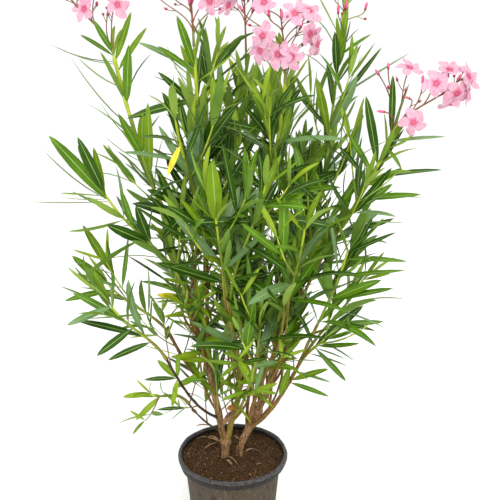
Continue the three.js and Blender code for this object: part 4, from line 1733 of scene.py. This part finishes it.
    def grow_low(self, row: Row, seed: int) -> None:
        """Grows slender stems up beside a trunk or stout bough, and leafy spurs out of boughs.

        Args:
            row: the trunk's or bough's row.
            seed: its number, which starts its stream.
        """
        stream = Stream(seed)
        bough = self.skeleton.limbs[row.name].course
        is_trunk = row.on == ""
        if is_trunk:
            bough = Course(bough.spots(np.linspace(self.bare_trunk, 1, 4)))
        kinds = [SUCKERS] if row.radii[0] > self.sucker_least else []
        kinds += [SPURS] if row.spurs and not is_trunk else []
        for growth in kinds:
            count = max(self.fewest_suckers, round(bough.length() / growth.gap))
            self.side_shoots(bough, growth, count, self.sucker_room, stream, self.low_bed)

    def add_marked_leaves(self) -> None:
        """Adds the leaves that catch the eye, each from its limb to its tip.

        A leaf's upper side faces the viewer, or up across the line of sight where it is edge-on.
        """
        leaves = [MarkedLeaf(on, *values) for on, *rows in MARKED_LEAVES for values in rows]
        for leaf in leaves:
            limb = self.skeleton.limbs[leaf.on]
            root = limb.course.spots(np.array(leaf.along))
            run = np.array([leaf.right, -leaf.forward, leaf.up]) * MM
            size = float(np.linalg.norm(run))
            heading = run / size
            face = math.radians(leaf.face)
            crown = BROAD_FACE * math.cos(face) + EDGE_FACE * math.sin(face)
            start = root + heading * limb.radius(leaf.along) * self.sunk
            form = (size, leaf.width, leaf.arch, 0.0, self.marked_twist, leaf.tissue)
            self.bed.leaves.append(Leaf(start, heading, crown, *form))

    def build(self) -> None:
        """Grows every mass, then joins the twigs and the leaves, each kind apart."""
        for seed, row in enumerate(MASS_ROWS):
            self.grow_mass(row, seed)
        for seed, row in enumerate(TRUNK_ROWS + BOUGH_ROWS):
            self.grow_low(row, len(MASS_ROWS) + seed)
        self.add_marked_leaves()
        names = [row.name for row in MASS_ROWS]
        piece("green_twigs", joined(self.twigs.shapes), BARK_FINISHES, names)
        piece("leaves_of_the_shoots", self.bed.shape(), LEAF_FINISHES, names)
        piece("leaves_of_the_suckers", self.low_bed.shape(), LEAF_FINISHES, names)
        LOG.info("leaves: %d and %d", len(self.bed.leaves), len(self.low_bed.leaves))


@dataclass(frozen=True)
class Head:
    """One flower or bud of a truss: its place from the truss's foot in mm, and its facing.

    turn is in degrees from the front towards the right, and lift is in degrees above level.
    """

    right: float
    up: float
    forward: float
    turn: float
    lift: float

    def place(self, foot: Array) -> Array:
        """Where it is."""
        return foot + np.array([self.right, -self.forward, self.up]) * MM

    def facing(self) -> Array:
        """Which way it faces.

        Returns:
            The direction.
        """
        turn, lift = math.radians(self.turn), math.radians(self.lift)
        level = np.array([math.sin(turn), -math.cos(turn), 0.0])
        return level * math.cos(lift) + UP * math.sin(lift)


@dataclass(frozen=True)
class TrussRow:
    """One truss: its node, the mass whose tip it stands on, its own tip, flowers and buds."""

    name: str
    on: str
    tip: Array
    blooms: tuple[Head, ...]
    buds: tuple[Head, ...]
    stalk: int = Bloom.STALK


TRUSS_ROWS = (
    TrussRow(
        "truss_upper_left",
        "foliage_upper_left",
        at(305, 171, 1150),
        (Head(14, 92, 12, 25, 20), Head(-49, 84, 10, -30, 15), Head(-66, 118, 0, -10, 60)),
        (Head(-72, 100, 8, -60, 40), Head(-30, 112, 6, 10, 70), Head(-8, 70, 0, 40, 70)),
    ),
    TrussRow(
        "truss_tall_left",
        "foliage_tall_left",
        at(85, 152, 1200),
        (
            Head(32, 84, 14, 20, 0), Head(-44, 128, 6, -30, 35), Head(-4, 150, 0, 0, 60),
            Head(42, 130, 4, 40, 40), Head(-14, 112, 18, -10, 20),
        ),
        (
            Head(-6, 76, 8, -20, 75), Head(-68, 96, 0, -60, 60), Head(62, 96, 0, 60, 60),
            Head(-36, 92, 2, -40, 70),
        ),
    ),
    TrussRow(
        "truss_inner",
        "foliage_inner",
        at(95, -12, 1135),
        (
            Head(-14, 56, 20, -12, 12), Head(10, 52, 24, 14, 6), Head(-42, 88, 12, -35, 18),
            Head(16, 128, 10, 8, 25), Head(-40, 146, 4, -20, 40), Head(44, 92, 10, 40, -5),
            Head(58, 72, 4, 58, -10), Head(-47, 62, 16, -38, 0), Head(42, 132, 0, 30, 50),
        ),
        (
            Head(-78, 130, 4, -60, 55), Head(-8, 118, 14, 0, 80), Head(-30, 120, 4, -20, 70),
            Head(26, 100, 4, 40, 60),
        ),
    ),
    TrussRow(
        "truss_top_centre",
        "foliage_top_centre",
        at(150, 80, 1160),
        (
            Head(-20, 150, 10, -20, 40), Head(24, 160, 6, 25, 45), Head(0, 176, 0, 0, 80),
            Head(-34, 118, 6, -50, 20), Head(30, 120, 0, 60, 20),
        ),
        (Head(-8, 128, 10, 0, 70), Head(12, 104, 8, 30, 70)),
    ),
    TrussRow(
        "truss_tall_right",
        "foliage_tall_right",
        at(230, 16, 1215),
        (
            Head(-14, 96, 10, -20, 35), Head(26, 84, 8, 35, 30), Head(6, 118, 0, 0, 75),
            Head(-26, 62, 8, -60, 15),
        ),
        (
            Head(-13, -6, 10, -15, 80), Head(2, 2, 14, 0, 85), Head(38, 0, 4, 30, 70),
            Head(-20, 22, 0, -30, 75), Head(18, 30, 8, 40, 80), Head(34, 60, 0, 50, 60),
        ),
        Bloom.GREEN,
    ),
    TrussRow(
        "truss_upper_right",
        "foliage_upper_right",
        at(415, -8, 1005),
        (
            Head(36, 30, 26, -4, 8), Head(26, 126, 8, 30, 65), Head(73, 100, 22, -2, 10),
            Head(98, 122, 8, 10, 65), Head(134, 110, 4, 50, 30), Head(134, 84, 10, 70, -10),
            Head(106, 62, 14, 20, -55), Head(112, 82, 20, 8, 0),
        ),
        (
            Head(-28, 112, 6, -60, 50), Head(-12, 122, 4, -20, 80), Head(112, 104, 14, 40, 60),
            Head(50, 98, 12, -10, 70), Head(-14, 46, 12, -80, 10), Head(30, 70, 10, -60, 20),
        ),
    ),
)


@dataclass(frozen=True)
class Petal:
    """A petal: a closed thin blade that widens from the throat to a blunt end that slants.

    At share u of its length and v across it, from -1 to 1, a corner lies at radial * (throat + u
    * run) + tangent * v * half width + facing * height. The run is reach * (1 + slant * v * u -
    bow * v squared * u). The half width is half * (neck + widening * u**a - narrowing * u**b) *
    the root of (1 - blunting * u**c), where a, b and c are the powers. The height is lift * (1 -
    curl) * u - drop * curl * u squared + (tilt * v + cup * v squared) * u + a ruffle.
    The ranges are those that the flowers' petals are drawn from.
    """

    throat: float = 3.8 * MM
    reach: float = 22.2 * MM
    half: float = 10.8 * MM
    neck: float = 0.36
    widening: float = 0.8
    narrowing: float = 0.36
    blunting: float = 0.25
    powers: Triple = (0.7, 5, 8)
    slant: float = 0.17
    bow: float = 0.1
    lift: float = 7 * MM
    drop: float = 8 * MM
    tilt: float = 1.1 * MM
    cup: float = 1.4 * MM
    ruffle: float = 0.7 * MM
    folds: float = 5
    fold_shift: float = 2
    thickness: float = 0.3 * MM
    turns: Pair = (-0.08, 0.08)
    reaches: Pair = (0.84, 1.06)
    breadths: Pair = (0.82, 1.12)
    curls: Pair = (-0.25, 0.25)
    stations: tuple[float, ...] = (0.0, 0.1, 0.24, 0.45, 0.66, 0.84, 0.95, 1.0)
    across: int = 7

    def shape(
        self, spot: Array, facing: Array, turn: float, curl: float, order: int, stream: Stream
    ) -> Shape:
        """One petal of a flower, a little unlike the others.

        Args:
            spot: the middle of the flower's throat.
            facing: the way the flower faces.
            turn: which way round the flower the petal points.
            curl: how far the flower's petals bend back.
            order: the petal's number in its flower, which shifts the ruffle.
            stream: the truss's own numbers.

        Returns:
            The shape.
        """
        radial = square_to(facing, turn + stream.between(*self.turns))
        tangent = np.cross(facing, radial)
        u = np.array(self.stations)[:, None]
        above = np.linspace(-1, 1, self.across)
        v = np.concatenate([above, above[-2:0:-1]])[None]
        under = (np.arange(v.size) >= self.across)[None]
        rise, fall, blunt = self.powers
        half = self.half * (self.neck + self.widening * u**rise - self.narrowing * u**fall)
        half = half * np.sqrt(1 - self.blunting * u**blunt)
        run = self.reach * (1 + self.slant * v * u - self.bow * v * v * u)
        out = self.throat + u * run * stream.between(*self.reaches)
        aside = v * half * stream.between(*self.breadths)
        curl = curl + stream.between(*self.curls)
        height = (1 - curl) * self.lift * u - curl * self.drop * u * u
        height = height + (self.tilt * v + self.cup * v * v) * u - self.thickness * under
        height = height + self.ruffle * np.sin(self.folds * v + self.fold_shift * order) * u * u
        corners = spot + radial * out[..., None] + tangent * aside[..., None]
        corners = corners + facing * height[..., None]
        rows, columns = corners.shape[:2]
        bands = np.array([Bloom.THROAT, Bloom.ROSE] + [Bloom.PALE] * (rows - 3))
        finishes = [np.repeat(bands, columns), bands[:1], bands[-1:]]
        return Shape(corners.reshape(-1, 3), capped(rows, columns), finishes)


@dataclass
class Blossom:
    """The trusses: red-brown stalks, five-petalled flowers on narrow tubes, buds and sepals.

    tube and throat hold the distance along and the radius of each ring in mm, spindle a share of
    the bud's length and of its radius, and sepal the distance out, the distance up and the radius
    in mm. Radii are in mm at a stalk's foot and tip, and openings in degrees. A flower's stalk
    starts at least stalk_least below it, and slant is how far it stands off to how far it rises.
    """

    skeleton: Skeleton
    petal: Petal = Petal()
    petals: int = 5
    curls: Pair = (0.05, 0.8)
    tube: tuple[Pair, ...] = ((-17, 1.4), (-12, 1.7), (-7, 2.4), (-3, 3.6), (0, 5.2))
    tube_sides: int = 12
    throat: tuple[Pair, ...] = ((0.1, 4.6), (0.5, 3.2), (0.2, 1.2))
    throat_sides: int = 10
    stamens: int = 10
    stamen_ring: float = 3.4 * MM
    stamen_height: float = 4.5 * MM
    stamen_leans: tuple[float, ...] = (1.2, 2.2, 3.2)
    stamen_radii: Pair = (0.7, 0.15)
    stamen_sides: int = 4
    sepal: tuple[Triple, ...] = ((0.6, 0, 0.9), (1.9, 2.4, 0.8), (2.2, 5.5, 0.12))
    sepal_sides: int = 5
    spindle: tuple[Pair, ...] = (
        *((0, 0.45), (0.12, 0.6), (0.3, 0.7)),
        *((0.5, 1.0), (0.7, 0.92), (0.86, 0.5), (1, 0.08)),
    )
    bud_length: float = 17 * MM
    bud_radius: float = 2.6 * MM
    bud_sides: int = 10
    bud_sizes: Pair = (0.8, 1.1)
    furl: float = 0.16
    furl_twist: float = 2.2
    pull: float = 0.4
    arrival: float = 0.8
    collar: float = 0.5
    collar_fade: float = 9
    branch_rings: int = 12
    branch_sides: int = 7
    sprig_place: Pair = (0.45, 0.75)
    sprig_opening: Pair = (25, 45)
    sprig_length: Pair = (12, 22)
    sprig_rise: float = 0.4
    sprig_radii: Pair = (0.8, 0.6)
    sprig_buds: Pair = (0.3, 0.62)
    slant: float = 0.9
    stalk_least: float = 28 * MM
    lowest_start: float = 3 * MM
    aim: float = 0.5
    flower_radii: Pair = (1.3, 0.9)
    stalk_form: Pair = (0.34, 0.1)
    stalk_radii: Pair = (2.9, 1.2)
    stalk_power: float = 0.6
    stalk_rings: int = 16
    stalk_sides: int = 8
    green_bands: int = 3
    shapes: list[Shape] = field(default_factory=list)

    def lathe(
        self, spot: Array, facing: Array, profile: Iterable[tuple], sides: int, finish: int
    ) -> None:
        """Turns a profile, the distance from the spot and radius of each ring in mm, about a line."""
        along, radii = (np.array(profile) * MM).T
        self.shapes.append(tube(spot + facing * along[:, None], radii, sides, finish))

    def tube_foot(self, spot: Array, facing: Array) -> Array:
        """The foot of the tube of a flower whose throat is at the spot."""
        return spot + facing * self.tube[0][0] * MM

    def flower(self, spot: Array, facing: Array, stream: Stream) -> None:
        """Adds an open flower.

        Args:
            spot: the middle of its throat.
            facing: the way it faces.
            stream: the truss's own numbers.
        """
        spin = FULL_TURN * stream.draw()
        curl = stream.between(*self.curls)
        for i in range(self.petals):
            turn = spin + FULL_TURN * i / self.petals
            self.shapes.append(self.petal.shape(spot, facing, turn, curl, i, stream))
        self.lathe(spot, facing, self.tube, self.tube_sides, Bloom.ROSE)
        self.lathe(spot, facing, self.throat, self.throat_sides, Bloom.THROAT)
        radii = np.array(self.stamen_radii) * MM
        for i in range(self.stamens):
            lean = square_to(facing, spin + FULL_TURN * (i + 0.5) / self.stamens)
            root = spot + lean * self.stamen_ring
            outward = lean * self.stamen_leans[i % len(self.stamen_leans)] * MM
            path = np.array([root, root + facing * self.stamen_height + outward])
            self.shapes.append(tube(path, radii, self.stamen_sides, Bloom.THROAT))
        self.sepals(self.tube_foot(spot, facing), facing)

    def sepals(self, spot: Array, facing: Array) -> None:
        """Adds a cup of narrow sepals round the foot of a flower or bud."""
        out, up, radii = (np.array(self.sepal) * MM).T
        for i in range(self.petals):
            lean = square_to(facing, FULL_TURN * i / self.petals)
            path = spot + lean * out[:, None] + facing * up[:, None]
            self.shapes.append(tube(path, radii, self.sepal_sides, Bloom.CALYX))

    def bud(self, spot: Array, facing: Array, size: float) -> None:
        """Adds a closed bud: a slim spindle of furled petals on its sepals.

        A ring's relief is furl * its radius * the cosine of petals * a turn that twists upwards.

        Args:
            spot: its foot.
            facing: the way it points.
            size: its size against the usual.
        """
        share, swell = np.array(self.spindle).T
        path = spot + facing * (share * self.bud_length * size)[:, None]
        radii = swell * self.bud_radius * size
        turn = FULL_TURN * np.arange(self.bud_sides) / self.bud_sides
        wave = np.cos(self.petals * (turn + self.furl_twist * share[:, None]))
        relief = self.furl * radii[:, None] * wave
        self.shapes.append(tube(path, radii, self.bud_sides, Bloom.BUD, relief))
        self.sepals(spot, facing)

    def branch(
        self,
        base: Stance,
        leave: Array,
        end: Array,
        facing: Array,
        thick: Pair,
        finish: int,
    ) -> Course:
        """Adds a stalk that leaves one way and arrives along the facing of what it bears.

        Its radius falls evenly, times 1 + a swelling that fades away below its tip.

        Args:
            base: the stance where it starts.
            leave: the direction it leaves in.
            end: where it ends.
            facing: the direction it arrives in.
            thick: its radius in mm at its foot and tip.
            finish: the finish number.

        Returns:
            Its course.
        """
        start = base.spot
        pull = self.pull * float(np.linalg.norm(end - start))
        last = end - facing * pull * self.arrival
        course = Course(np.array([start, start + leave * pull, last, end]))
        share = np.linspace(0, 1, self.branch_rings)
        collar = self.collar * np.exp(-(1 - share) * self.collar_fade)
        radii = mix(*thick, share) * MM * (1 + collar)
        self.shapes.append(tube(course.spots(share), radii, self.branch_sides, finish))
        return course

    def sprig(self, course: Course, stream: Stream, finish: int) -> None:
        """Adds a short side stalk with a small bud, part of the way up another stalk.

        Args:
            course: the other stalk's course.
            stream: the truss's own numbers.
            finish: the finish number.
        """
        base = stance(course, stream.between(*self.sprig_place))
        opening = math.radians(stream.between(*self.sprig_opening))
        heading = base.turned(opening, FULL_TURN * stream.draw())
        end = base.spot + heading * stream.between(*self.sprig_length) * MM
        facing = unit(heading + self.sprig_rise * UP)
        self.branch(base, heading, end, facing, self.sprig_radii, finish)
        self.bud(end, facing, stream.between(*self.sprig_buds))

    def start_of(self, spot: Array, stem: Course, stalk: Course) -> Stance:
        """Where a flower's or bud's own stalk starts.

        It leaves at a slant, so it starts as far below the flower as the flower stands off, and
        where the truss is young it starts on the leafy stem below.

        Args:
            spot: where the flower or bud is.
            stem: the course of the mass's stem.
            stalk: the course of the truss's stalk.

        Returns:
            The stance.
        """
        chord, run = stalk.guides[-1] - stalk.guides[0], spot - stalk.guides[0]
        length = float(np.linalg.norm(chord))
        along = float(run @ chord) / length
        aside = math.sqrt(max(0.0, float(run @ run) - along**2))
        nearest = along - self.stalk_least
        start = max(min(along - aside / self.slant, nearest), min(self.lowest_start, nearest))
        if start > 0:
            return stance(stalk, min(1.0, start / length))
        return stance(stem, 1 + start / stem.length())

    def truss(self, row: TrussRow, seed: int) -> None:
        """Grows a truss from the tip of its mass: its stalk, then each flower and bud.

        Args:
            row: the truss's row.
            seed: its number, which starts its stream.
        """
        stream = Stream(seed)
        stem = self.skeleton.limbs[row.on].course
        foot = stem.guides[-1]
        stalk = reach(foot, stem.headings(np.array(1.0)), row.tip, *self.stalk_form)
        share = np.linspace(0, 1, self.stalk_rings)
        radii = mix(*self.stalk_radii, share**self.stalk_power) * MM
        shape = tube(stalk.spots(share), radii, self.stalk_sides, row.stalk)
        is_green = np.arange(self.stalk_rings - 1) < self.green_bands
        shape.finishes[0] = np.repeat(np.where(is_green, Bloom.GREEN, row.stalk), self.stalk_sides)
        self.shapes.append(shape)
        heads = [(head, True) for head in row.blooms] + [(head, False) for head in row.buds]
        for head, is_open in heads:
            spot, facing = head.place(foot), head.facing()
            base = self.start_of(spot, stem, stalk)
            end = self.tube_foot(spot, facing) if is_open else spot
            leave = unit(base.along + self.aim * unit(end - base.spot))
            course = self.branch(base, leave, end, facing, self.flower_radii, row.stalk)
            self.sprig(course, stream, row.stalk)
            if is_open:
                self.sprig(course, stream, row.stalk)
                self.flower(spot, facing, stream)
            else:
                self.bud(end, facing, stream.between(*self.bud_sizes))

    def build(self) -> None:
        """Grows every truss and joins them."""
        for i, row in enumerate(TRUSS_ROWS):
            self.truss(row, len(MASS_ROWS) + i)
        names = [row.name for row in TRUSS_ROWS]
        piece("flower_trusses", joined(self.shapes), BLOOM_FINISHES, names)


@dataclass
class Pot:
    """The nursery pot: a thin tapered wall, a deep rolled rim band and a flat underside.

    Sizes are in mm. foot_edge runs out from the foot's radius and up from the ground, and
    rim_edge out from the rim's radius and up from the pot's height. The finishes change at
    lip below the top, and within margin of the shoulder and the band's lower edge. Above fade
    the dents have their full depth, and the rim's are rim_share times as deep.
    """

    height: float = 195
    rim_radius: float = 120
    band_radius: float = 117
    band_height: float = 22
    shoulder_radius: float = 104
    foot_radius: float = 88
    ledge: float = 5
    ledge_round: Pair = (1.5, 0.5)
    hollow: float = 1.5
    foot_edge: tuple[Pair, ...] = ((-16, 1.5), (-14, 0), (-1, 0), (0, 2))
    rim_edge: tuple[Pair, ...] = ((-0.6, -9), (0, -4), (-3, 0), (-7.5, -1), (-8.5, -6))
    easing: float = 2.2
    easing_steps: int = 5
    lip: float = 7
    margin: Pair = (1, 0.6)
    wall: float = 3
    floor: float = 4
    sides: int = 160
    dent: float = 0.35
    dent_waves: tuple[float, float, int] = (90 * MM, 9 * MM, 5)
    rim_share: float = 2.2
    fade: float = 20

    def profile(self) -> tuple[Array, Array]:
        """The pot's section from the middle of its underside round to the middle of its floor.

        Returns:
            Radius and height of each point, and the plastic of the band after it.
        """
        band = self.height - self.band_height
        corners = [
            (0, self.hollow),
            *((self.foot_radius + out, up) for out, up in self.foot_edge),
            (mix(self.foot_radius, self.shoulder_radius, 0.5), band / 2),
            (self.shoulder_radius, band - self.ledge_round[1]),
            (self.band_radius - self.ledge_round[0], band),
            (self.band_radius, band + self.ledge),
            *((self.rim_radius + out, self.height + up) for out, up in self.rim_edge),
            (self.band_radius - self.wall, band + self.ledge),
            (self.shoulder_radius - self.wall, band),
            (self.foot_radius - self.wall, self.floor),
            (0, self.floor),
        ]
        points = rounded(corners, self.easing, self.easing_steps)
        out, up = points.T / MM
        rim = (up > band - self.margin[1]) & (out > self.shoulder_radius - self.margin[0])
        # The top of the lip takes its own finish: scuffs and a painted highlight.
        is_lip = up > self.height - self.lip
        return points, np.where(is_lip, Plastic.LIP, np.where(rim, Plastic.RIM, Plastic.BODY))

    def build(self) -> None:
        """Turns the section, with slight dents that hands and heat have left.

        A dent's depth is dent * the share for its plastic * a field of waves, and fades to
        nothing at the pot's axis and foot.
        """
        points, plastic = self.profile()
        out, up = points[:, :1], points[:, 1:]
        turn = FULL_TURN * np.arange(self.sides) / self.sides
        rings = np.broadcast_arrays(out * np.cos(turn), out * np.sin(turn), up)
        field_of_waves = waves(np.stack(rings, axis=-1), *self.dent_waves)
        keep = np.clip(out / (self.foot_radius * MM), 0, 1) * np.clip(up / (self.fade * MM), 0, 1)
        share = np.where(plastic == Plastic.BODY, 1, self.rim_share)[:, None]
        relief = share * self.dent * MM * field_of_waves * keep
        shape = revolved(points[1:-1], self.sides, relief[1:-1], plastic[1:-1])
        piece("nursery_pot", shape, POT_FINISHES, ["pot"])


@dataclass(frozen=True)
class Fallen:
    """A dry leaf or stalk on the compost: where its ends lie in mm, and its form."""

    start: Pair
    end: Pair
    width: float
    arch: float
    twist: float


FALLEN = (
    Fallen((-17, -8), (14, -43), 1.5, 0.16, 1.4),
    Fallen((-14, -14), (0, -34), 1.6, 0.1, -0.8),
    Fallen((27, 8), (58, 17), 1.9, 0.18, 0.9),
    Fallen((8, 22), (20, 44), 1.7, 0.3, 1.6),
    Fallen((-68, 19), (-31, 58), 0.5, 0.1, 0.4),
    Fallen((-82, 66), (-34, 60), 0.6, 0.16, 1.0),
    Fallen((-60, 78), (-26, 50), 0.6, 0.2, -0.7),
    Fallen((52, -34), (66, -26), 1.4, 0.12, 0.6),
)


@dataclass(frozen=True)
class Loose:
    """One kind of loose bits: how many, their seed, least and largest size in mm, and finish."""

    count: int
    seed: int
    least: Triple
    largest: Triple
    finish: int


LOOSE_BITS = (
    # Crumbs of peat.
    Loose(1500, 21, (1.5, 1.5, 1.2), (5, 4.5, 3.5), Ground.PEAT),
    # Chips of bark.
    Loose(420, 22, (3, 1, 0.8), (12, 3, 2), Ground.CHIP),
    # Pale grit.
    Loose(90, 23, (1.2, 1.2, 1), (2.8, 2.4, 2), Ground.GRIT),
)
# The faces of a lump with six ends: three on the axes, then the three across from them.
LUMP_FACES = np.array(
    [[0, 1, 2], [1, 3, 2], [3, 4, 2], [4, 0, 2], [1, 0, 5], [3, 1, 5], [4, 3, 5], [0, 4, 5]]
)


@dataclass
class Compost:
    """The compost: an uneven surface with crumbs, bark chips, grit and dry fallen leaves.

    gap keeps it clear of the pot in mm. Bits lie within scatter_radius mm of the axis, their six
    ends are shortened or drawn out within uneven, and flatness keeps them from standing on end.
    """

    pot: Pot
    gap: float = 0.5
    rings: int = 64
    sides: int = 150
    innermost: float = 0.0004
    swell: float = 2.4 * MM
    swell_waves: tuple[float, float, int] = (60 * MM, 9 * MM, 11)
    crumb: float = 0.9 * MM
    crumb_waves: tuple[float, float, int] = (7 * MM, 2.4 * MM, 12)
    sunk: float = 1.5 * MM
    mound: float = 3.5 * MM
    mound_radius: float = 30 * MM
    scatter_radius: float = 108
    uneven: Pair = (0.7, 1.2)
    flatness: float = 0.4
    litter_lift: float = 2 * MM
    litter_fold: float = 0.5

    def height(self, spots: Array) -> Array:
        """The surface's height, with a mound that fades from the axis by a bell curve.

        Args:
            spots: the places, whose own height doesn't matter.

        Returns:
            Ground level less the sinking, plus broad swells, crumbs and the mound.
        """
        flat = spots[..., :2]
        out = np.linalg.norm(flat, axis=-1)
        swells = self.swell * waves(flat, *self.swell_waves)
        crumbs = self.crumb * waves(flat, *self.crumb_waves)
        mound = self.mound * np.exp(-((out / self.mound_radius) ** 2))
        return GROUND - self.sunk + (swells + crumbs) + mound

    def bed(self) -> Shape:
        """The compost itself: the uneven surface, and under it the pot's inside.

        Returns:
            The shape.
        """
        pot = self.pot
        band = pot.height - pot.band_height
        inset = pot.wall + self.gap
        edge = pot.band_radius - inset
        out = np.sqrt(np.linspace(self.innermost, 1, self.rings))[::-1] * edge * MM
        wall = [
            (pot.foot_radius - inset, pot.floor + self.gap),
            (pot.shoulder_radius - inset, band),
            (edge, band + pot.ledge),
        ]
        top = np.stack([out, np.full(self.rings, GROUND)], axis=1)
        profile = np.concatenate([np.array(wall) * MM, top])
        finish = np.full(len(profile), Ground.PEAT)
        shape = revolved(profile, self.sides, np.zeros((len(profile), 1)), finish)
        raised = shape.corners[:, 2] > GROUND - TINY
        shape.corners[raised, 2] = self.height(shape.corners[raised])
        return shape

    def lumps(self, bits: Loose) -> Shape:
        """Loose bits of one kind: eight-faced lumps spread evenly, part sunk in the surface.

        A lump's distance out is the root of a drawn share of the radius. Its axes are drawn at
        random and made square to each other, and a left-handed lump has its faces turned over.

        Args:
            bits: the kind.

        Returns:
            The shape.
        """
        count = bits.count
        dice = np.random.default_rng(bits.seed)
        out = np.sqrt(dice.uniform(0, 1, count)) * self.scatter_radius * MM
        turn = dice.uniform(0, FULL_TURN, count)
        spots = np.stack([out * np.cos(turn), out * np.sin(turn), np.zeros(count)], axis=1)
        spots[:, 2] = self.height(spots)
        ends = np.concatenate([np.eye(3), -np.eye(3)]) / 2
        sizes = dice.uniform(bits.least, bits.largest, (count, 3)) * MM
        corners = ends * sizes[:, None] * dice.uniform(*self.uneven, (count, 6, 1))
        tilts = dice.normal(size=(count, 3, 3)) * np.array([1, 1, self.flatness])[:, None]
        axes = np.linalg.qr(tilts)[0]
        corners = corners @ axes + spots[:, None]
        is_left = (np.linalg.det(axes) < 0)[:, None, None]
        faces = np.where(is_left, LUMP_FACES[:, ::-1], LUMP_FACES)
        faces = faces + (np.arange(count) * len(ends))[:, None, None]
        return finished(corners.reshape(-1, 3), [faces.reshape(-1, 3)], bits.finish)

    def build(self) -> None:
        """Lays the compost and everything on it."""
        shapes = [self.bed(), *(self.lumps(bits) for bits in LOOSE_BITS)]
        piece("potting_compost", joined(shapes), GROUND_FINISHES, ["compost"])
        bed = LeafBed(fold=self.litter_fold)
        for leaf in FALLEN:
            ends = np.array([(*leaf.start, 0), (*leaf.end, 0)]) * MM
            ends[:, 2] = self.height(ends) + self.litter_lift
            run = ends[1] - ends[0]
            size = float(np.linalg.norm(run))
            form = (size, leaf.width, leaf.arch, 0.0, leaf.twist, Tissue.DRY)
            bed.leaves.append(Leaf(ends[0], run / size, UP, *form))
        litter = bed.shape()
        litter.finishes = [np.full(len(block), Ground.LITTER) for block in litter.faces]
        piece("dry_fallen_leaves", litter, GROUND_FINISHES, ["foliage_low_centre"])


@dataclass(frozen=True)
class Lamp:
    """A square soft lamp: its name, place and size in metres, power in watts and colour."""

    name: str
    spot: Triple
    size: float
    power: float
    tint: str


LAMPS = (
    Lamp("key_light", (0.4, -2.2, 2.9), 1.3, 52, "#fff8ee"),
    Lamp("fill_light", (-2.2, -1.6, 1.8), 2.0, 14, "#f2f6ff"),
    Lamp("back_light", (0.9, 2.2, 2.4), 1.6, 16, "#fffaf2"),
)


@dataclass
class Studio:
    """A plain pale floor, soft lights and a camera where the photograph was taken from."""

    camera: Triple = (0.038, -1.70, 1.28)
    pitch: float = -19.95
    lens: float = 64.8
    sensor: float = 36.0
    farthest: float = 100
    floor_radius: float = 30
    floor_sides: int = 96
    aim: Triple = (0, 0, 0.75)
    sky_strength: float = 1.06

    def add(self, name: str, held: bpy.types.ID) -> bpy.types.Object:
        """Adds an object to the scene.

        Args:
            name: the object's name.
            held: the mesh, lamp or camera that it holds.

        Returns:
            The object.
        """
        made = bpy.data.objects.new(name, held)
        bpy.context.scene.collection.objects.link(made)
        return made

    def lay_floor(self) -> None:
        """Lays a wide round floor."""
        turn = FULL_TURN * np.arange(self.floor_sides) / self.floor_sides
        rim = np.stack([np.cos(turn), np.sin(turn), 0 * turn], axis=1) * self.floor_radius
        mesh = bpy.data.meshes.new("studio_floor")
        mesh.from_pydata(rim.tolist(), [], [list(range(self.floor_sides))])
        mesh.materials.append(FLOOR_FINISH.make())
        self.add("studio_floor", mesh)

    def light(self, lamp: Lamp) -> None:
        """Adds a lamp that faces the plant's middle.

        Args:
            lamp: the lamp's values.
        """
        glow = bpy.data.lights.new(lamp.name, "AREA")
        glow.size = lamp.size
        glow.energy = lamp.power
        glow.color = linear(lamp.tint)[:3]
        made = self.add(lamp.name, glow)
        made.location = lamp.spot
        aim = np.array(self.aim) - np.array(lamp.spot)
        turn = math.atan2(aim[1], aim[0])
        tilt = math.atan2(math.hypot(aim[0], aim[1]), -aim[2])
        made.rotation_euler = (tilt, 0, turn - math.pi / 2)

    def build(self) -> None:
        """Sets the floor, lights, sky and camera."""
        self.lay_floor()
        for lamp in LAMPS:
            self.light(lamp)
        scene = bpy.context.scene
        scene.world = bpy.data.worlds.new("pale_sky")
        scene.world.use_nodes = True
        sky = scene.world.node_tree.nodes["Background"]
        sky.inputs["Color"].default_value = linear("#ffffff")
        sky.inputs["Strength"].default_value = self.sky_strength
        scene.view_settings.view_transform = "Standard"
        lens = bpy.data.cameras.new("camera")
        lens.lens = self.lens
        lens.sensor_width = self.sensor
        lens.clip_end = self.farthest
        made = self.add("camera", lens)
        made.location = self.camera
        made.rotation_euler = (math.radians(90 + self.pitch), 0, 0)
        scene.camera = made


def main() -> None:
    """Builds the studio, the plant and its pot."""
    logging.basicConfig(level=logging.INFO, format="%(name)s: %(message)s")
    Studio().build()
    skeleton = Skeleton()
    skeleton.grow()
    Wood(skeleton).build()
    Foliage(skeleton).build()
    Blossom(skeleton).build()
    pot = Pot()
    pot.build()
    Compost(pot).build()


if __name__ == "__main__":
    main()
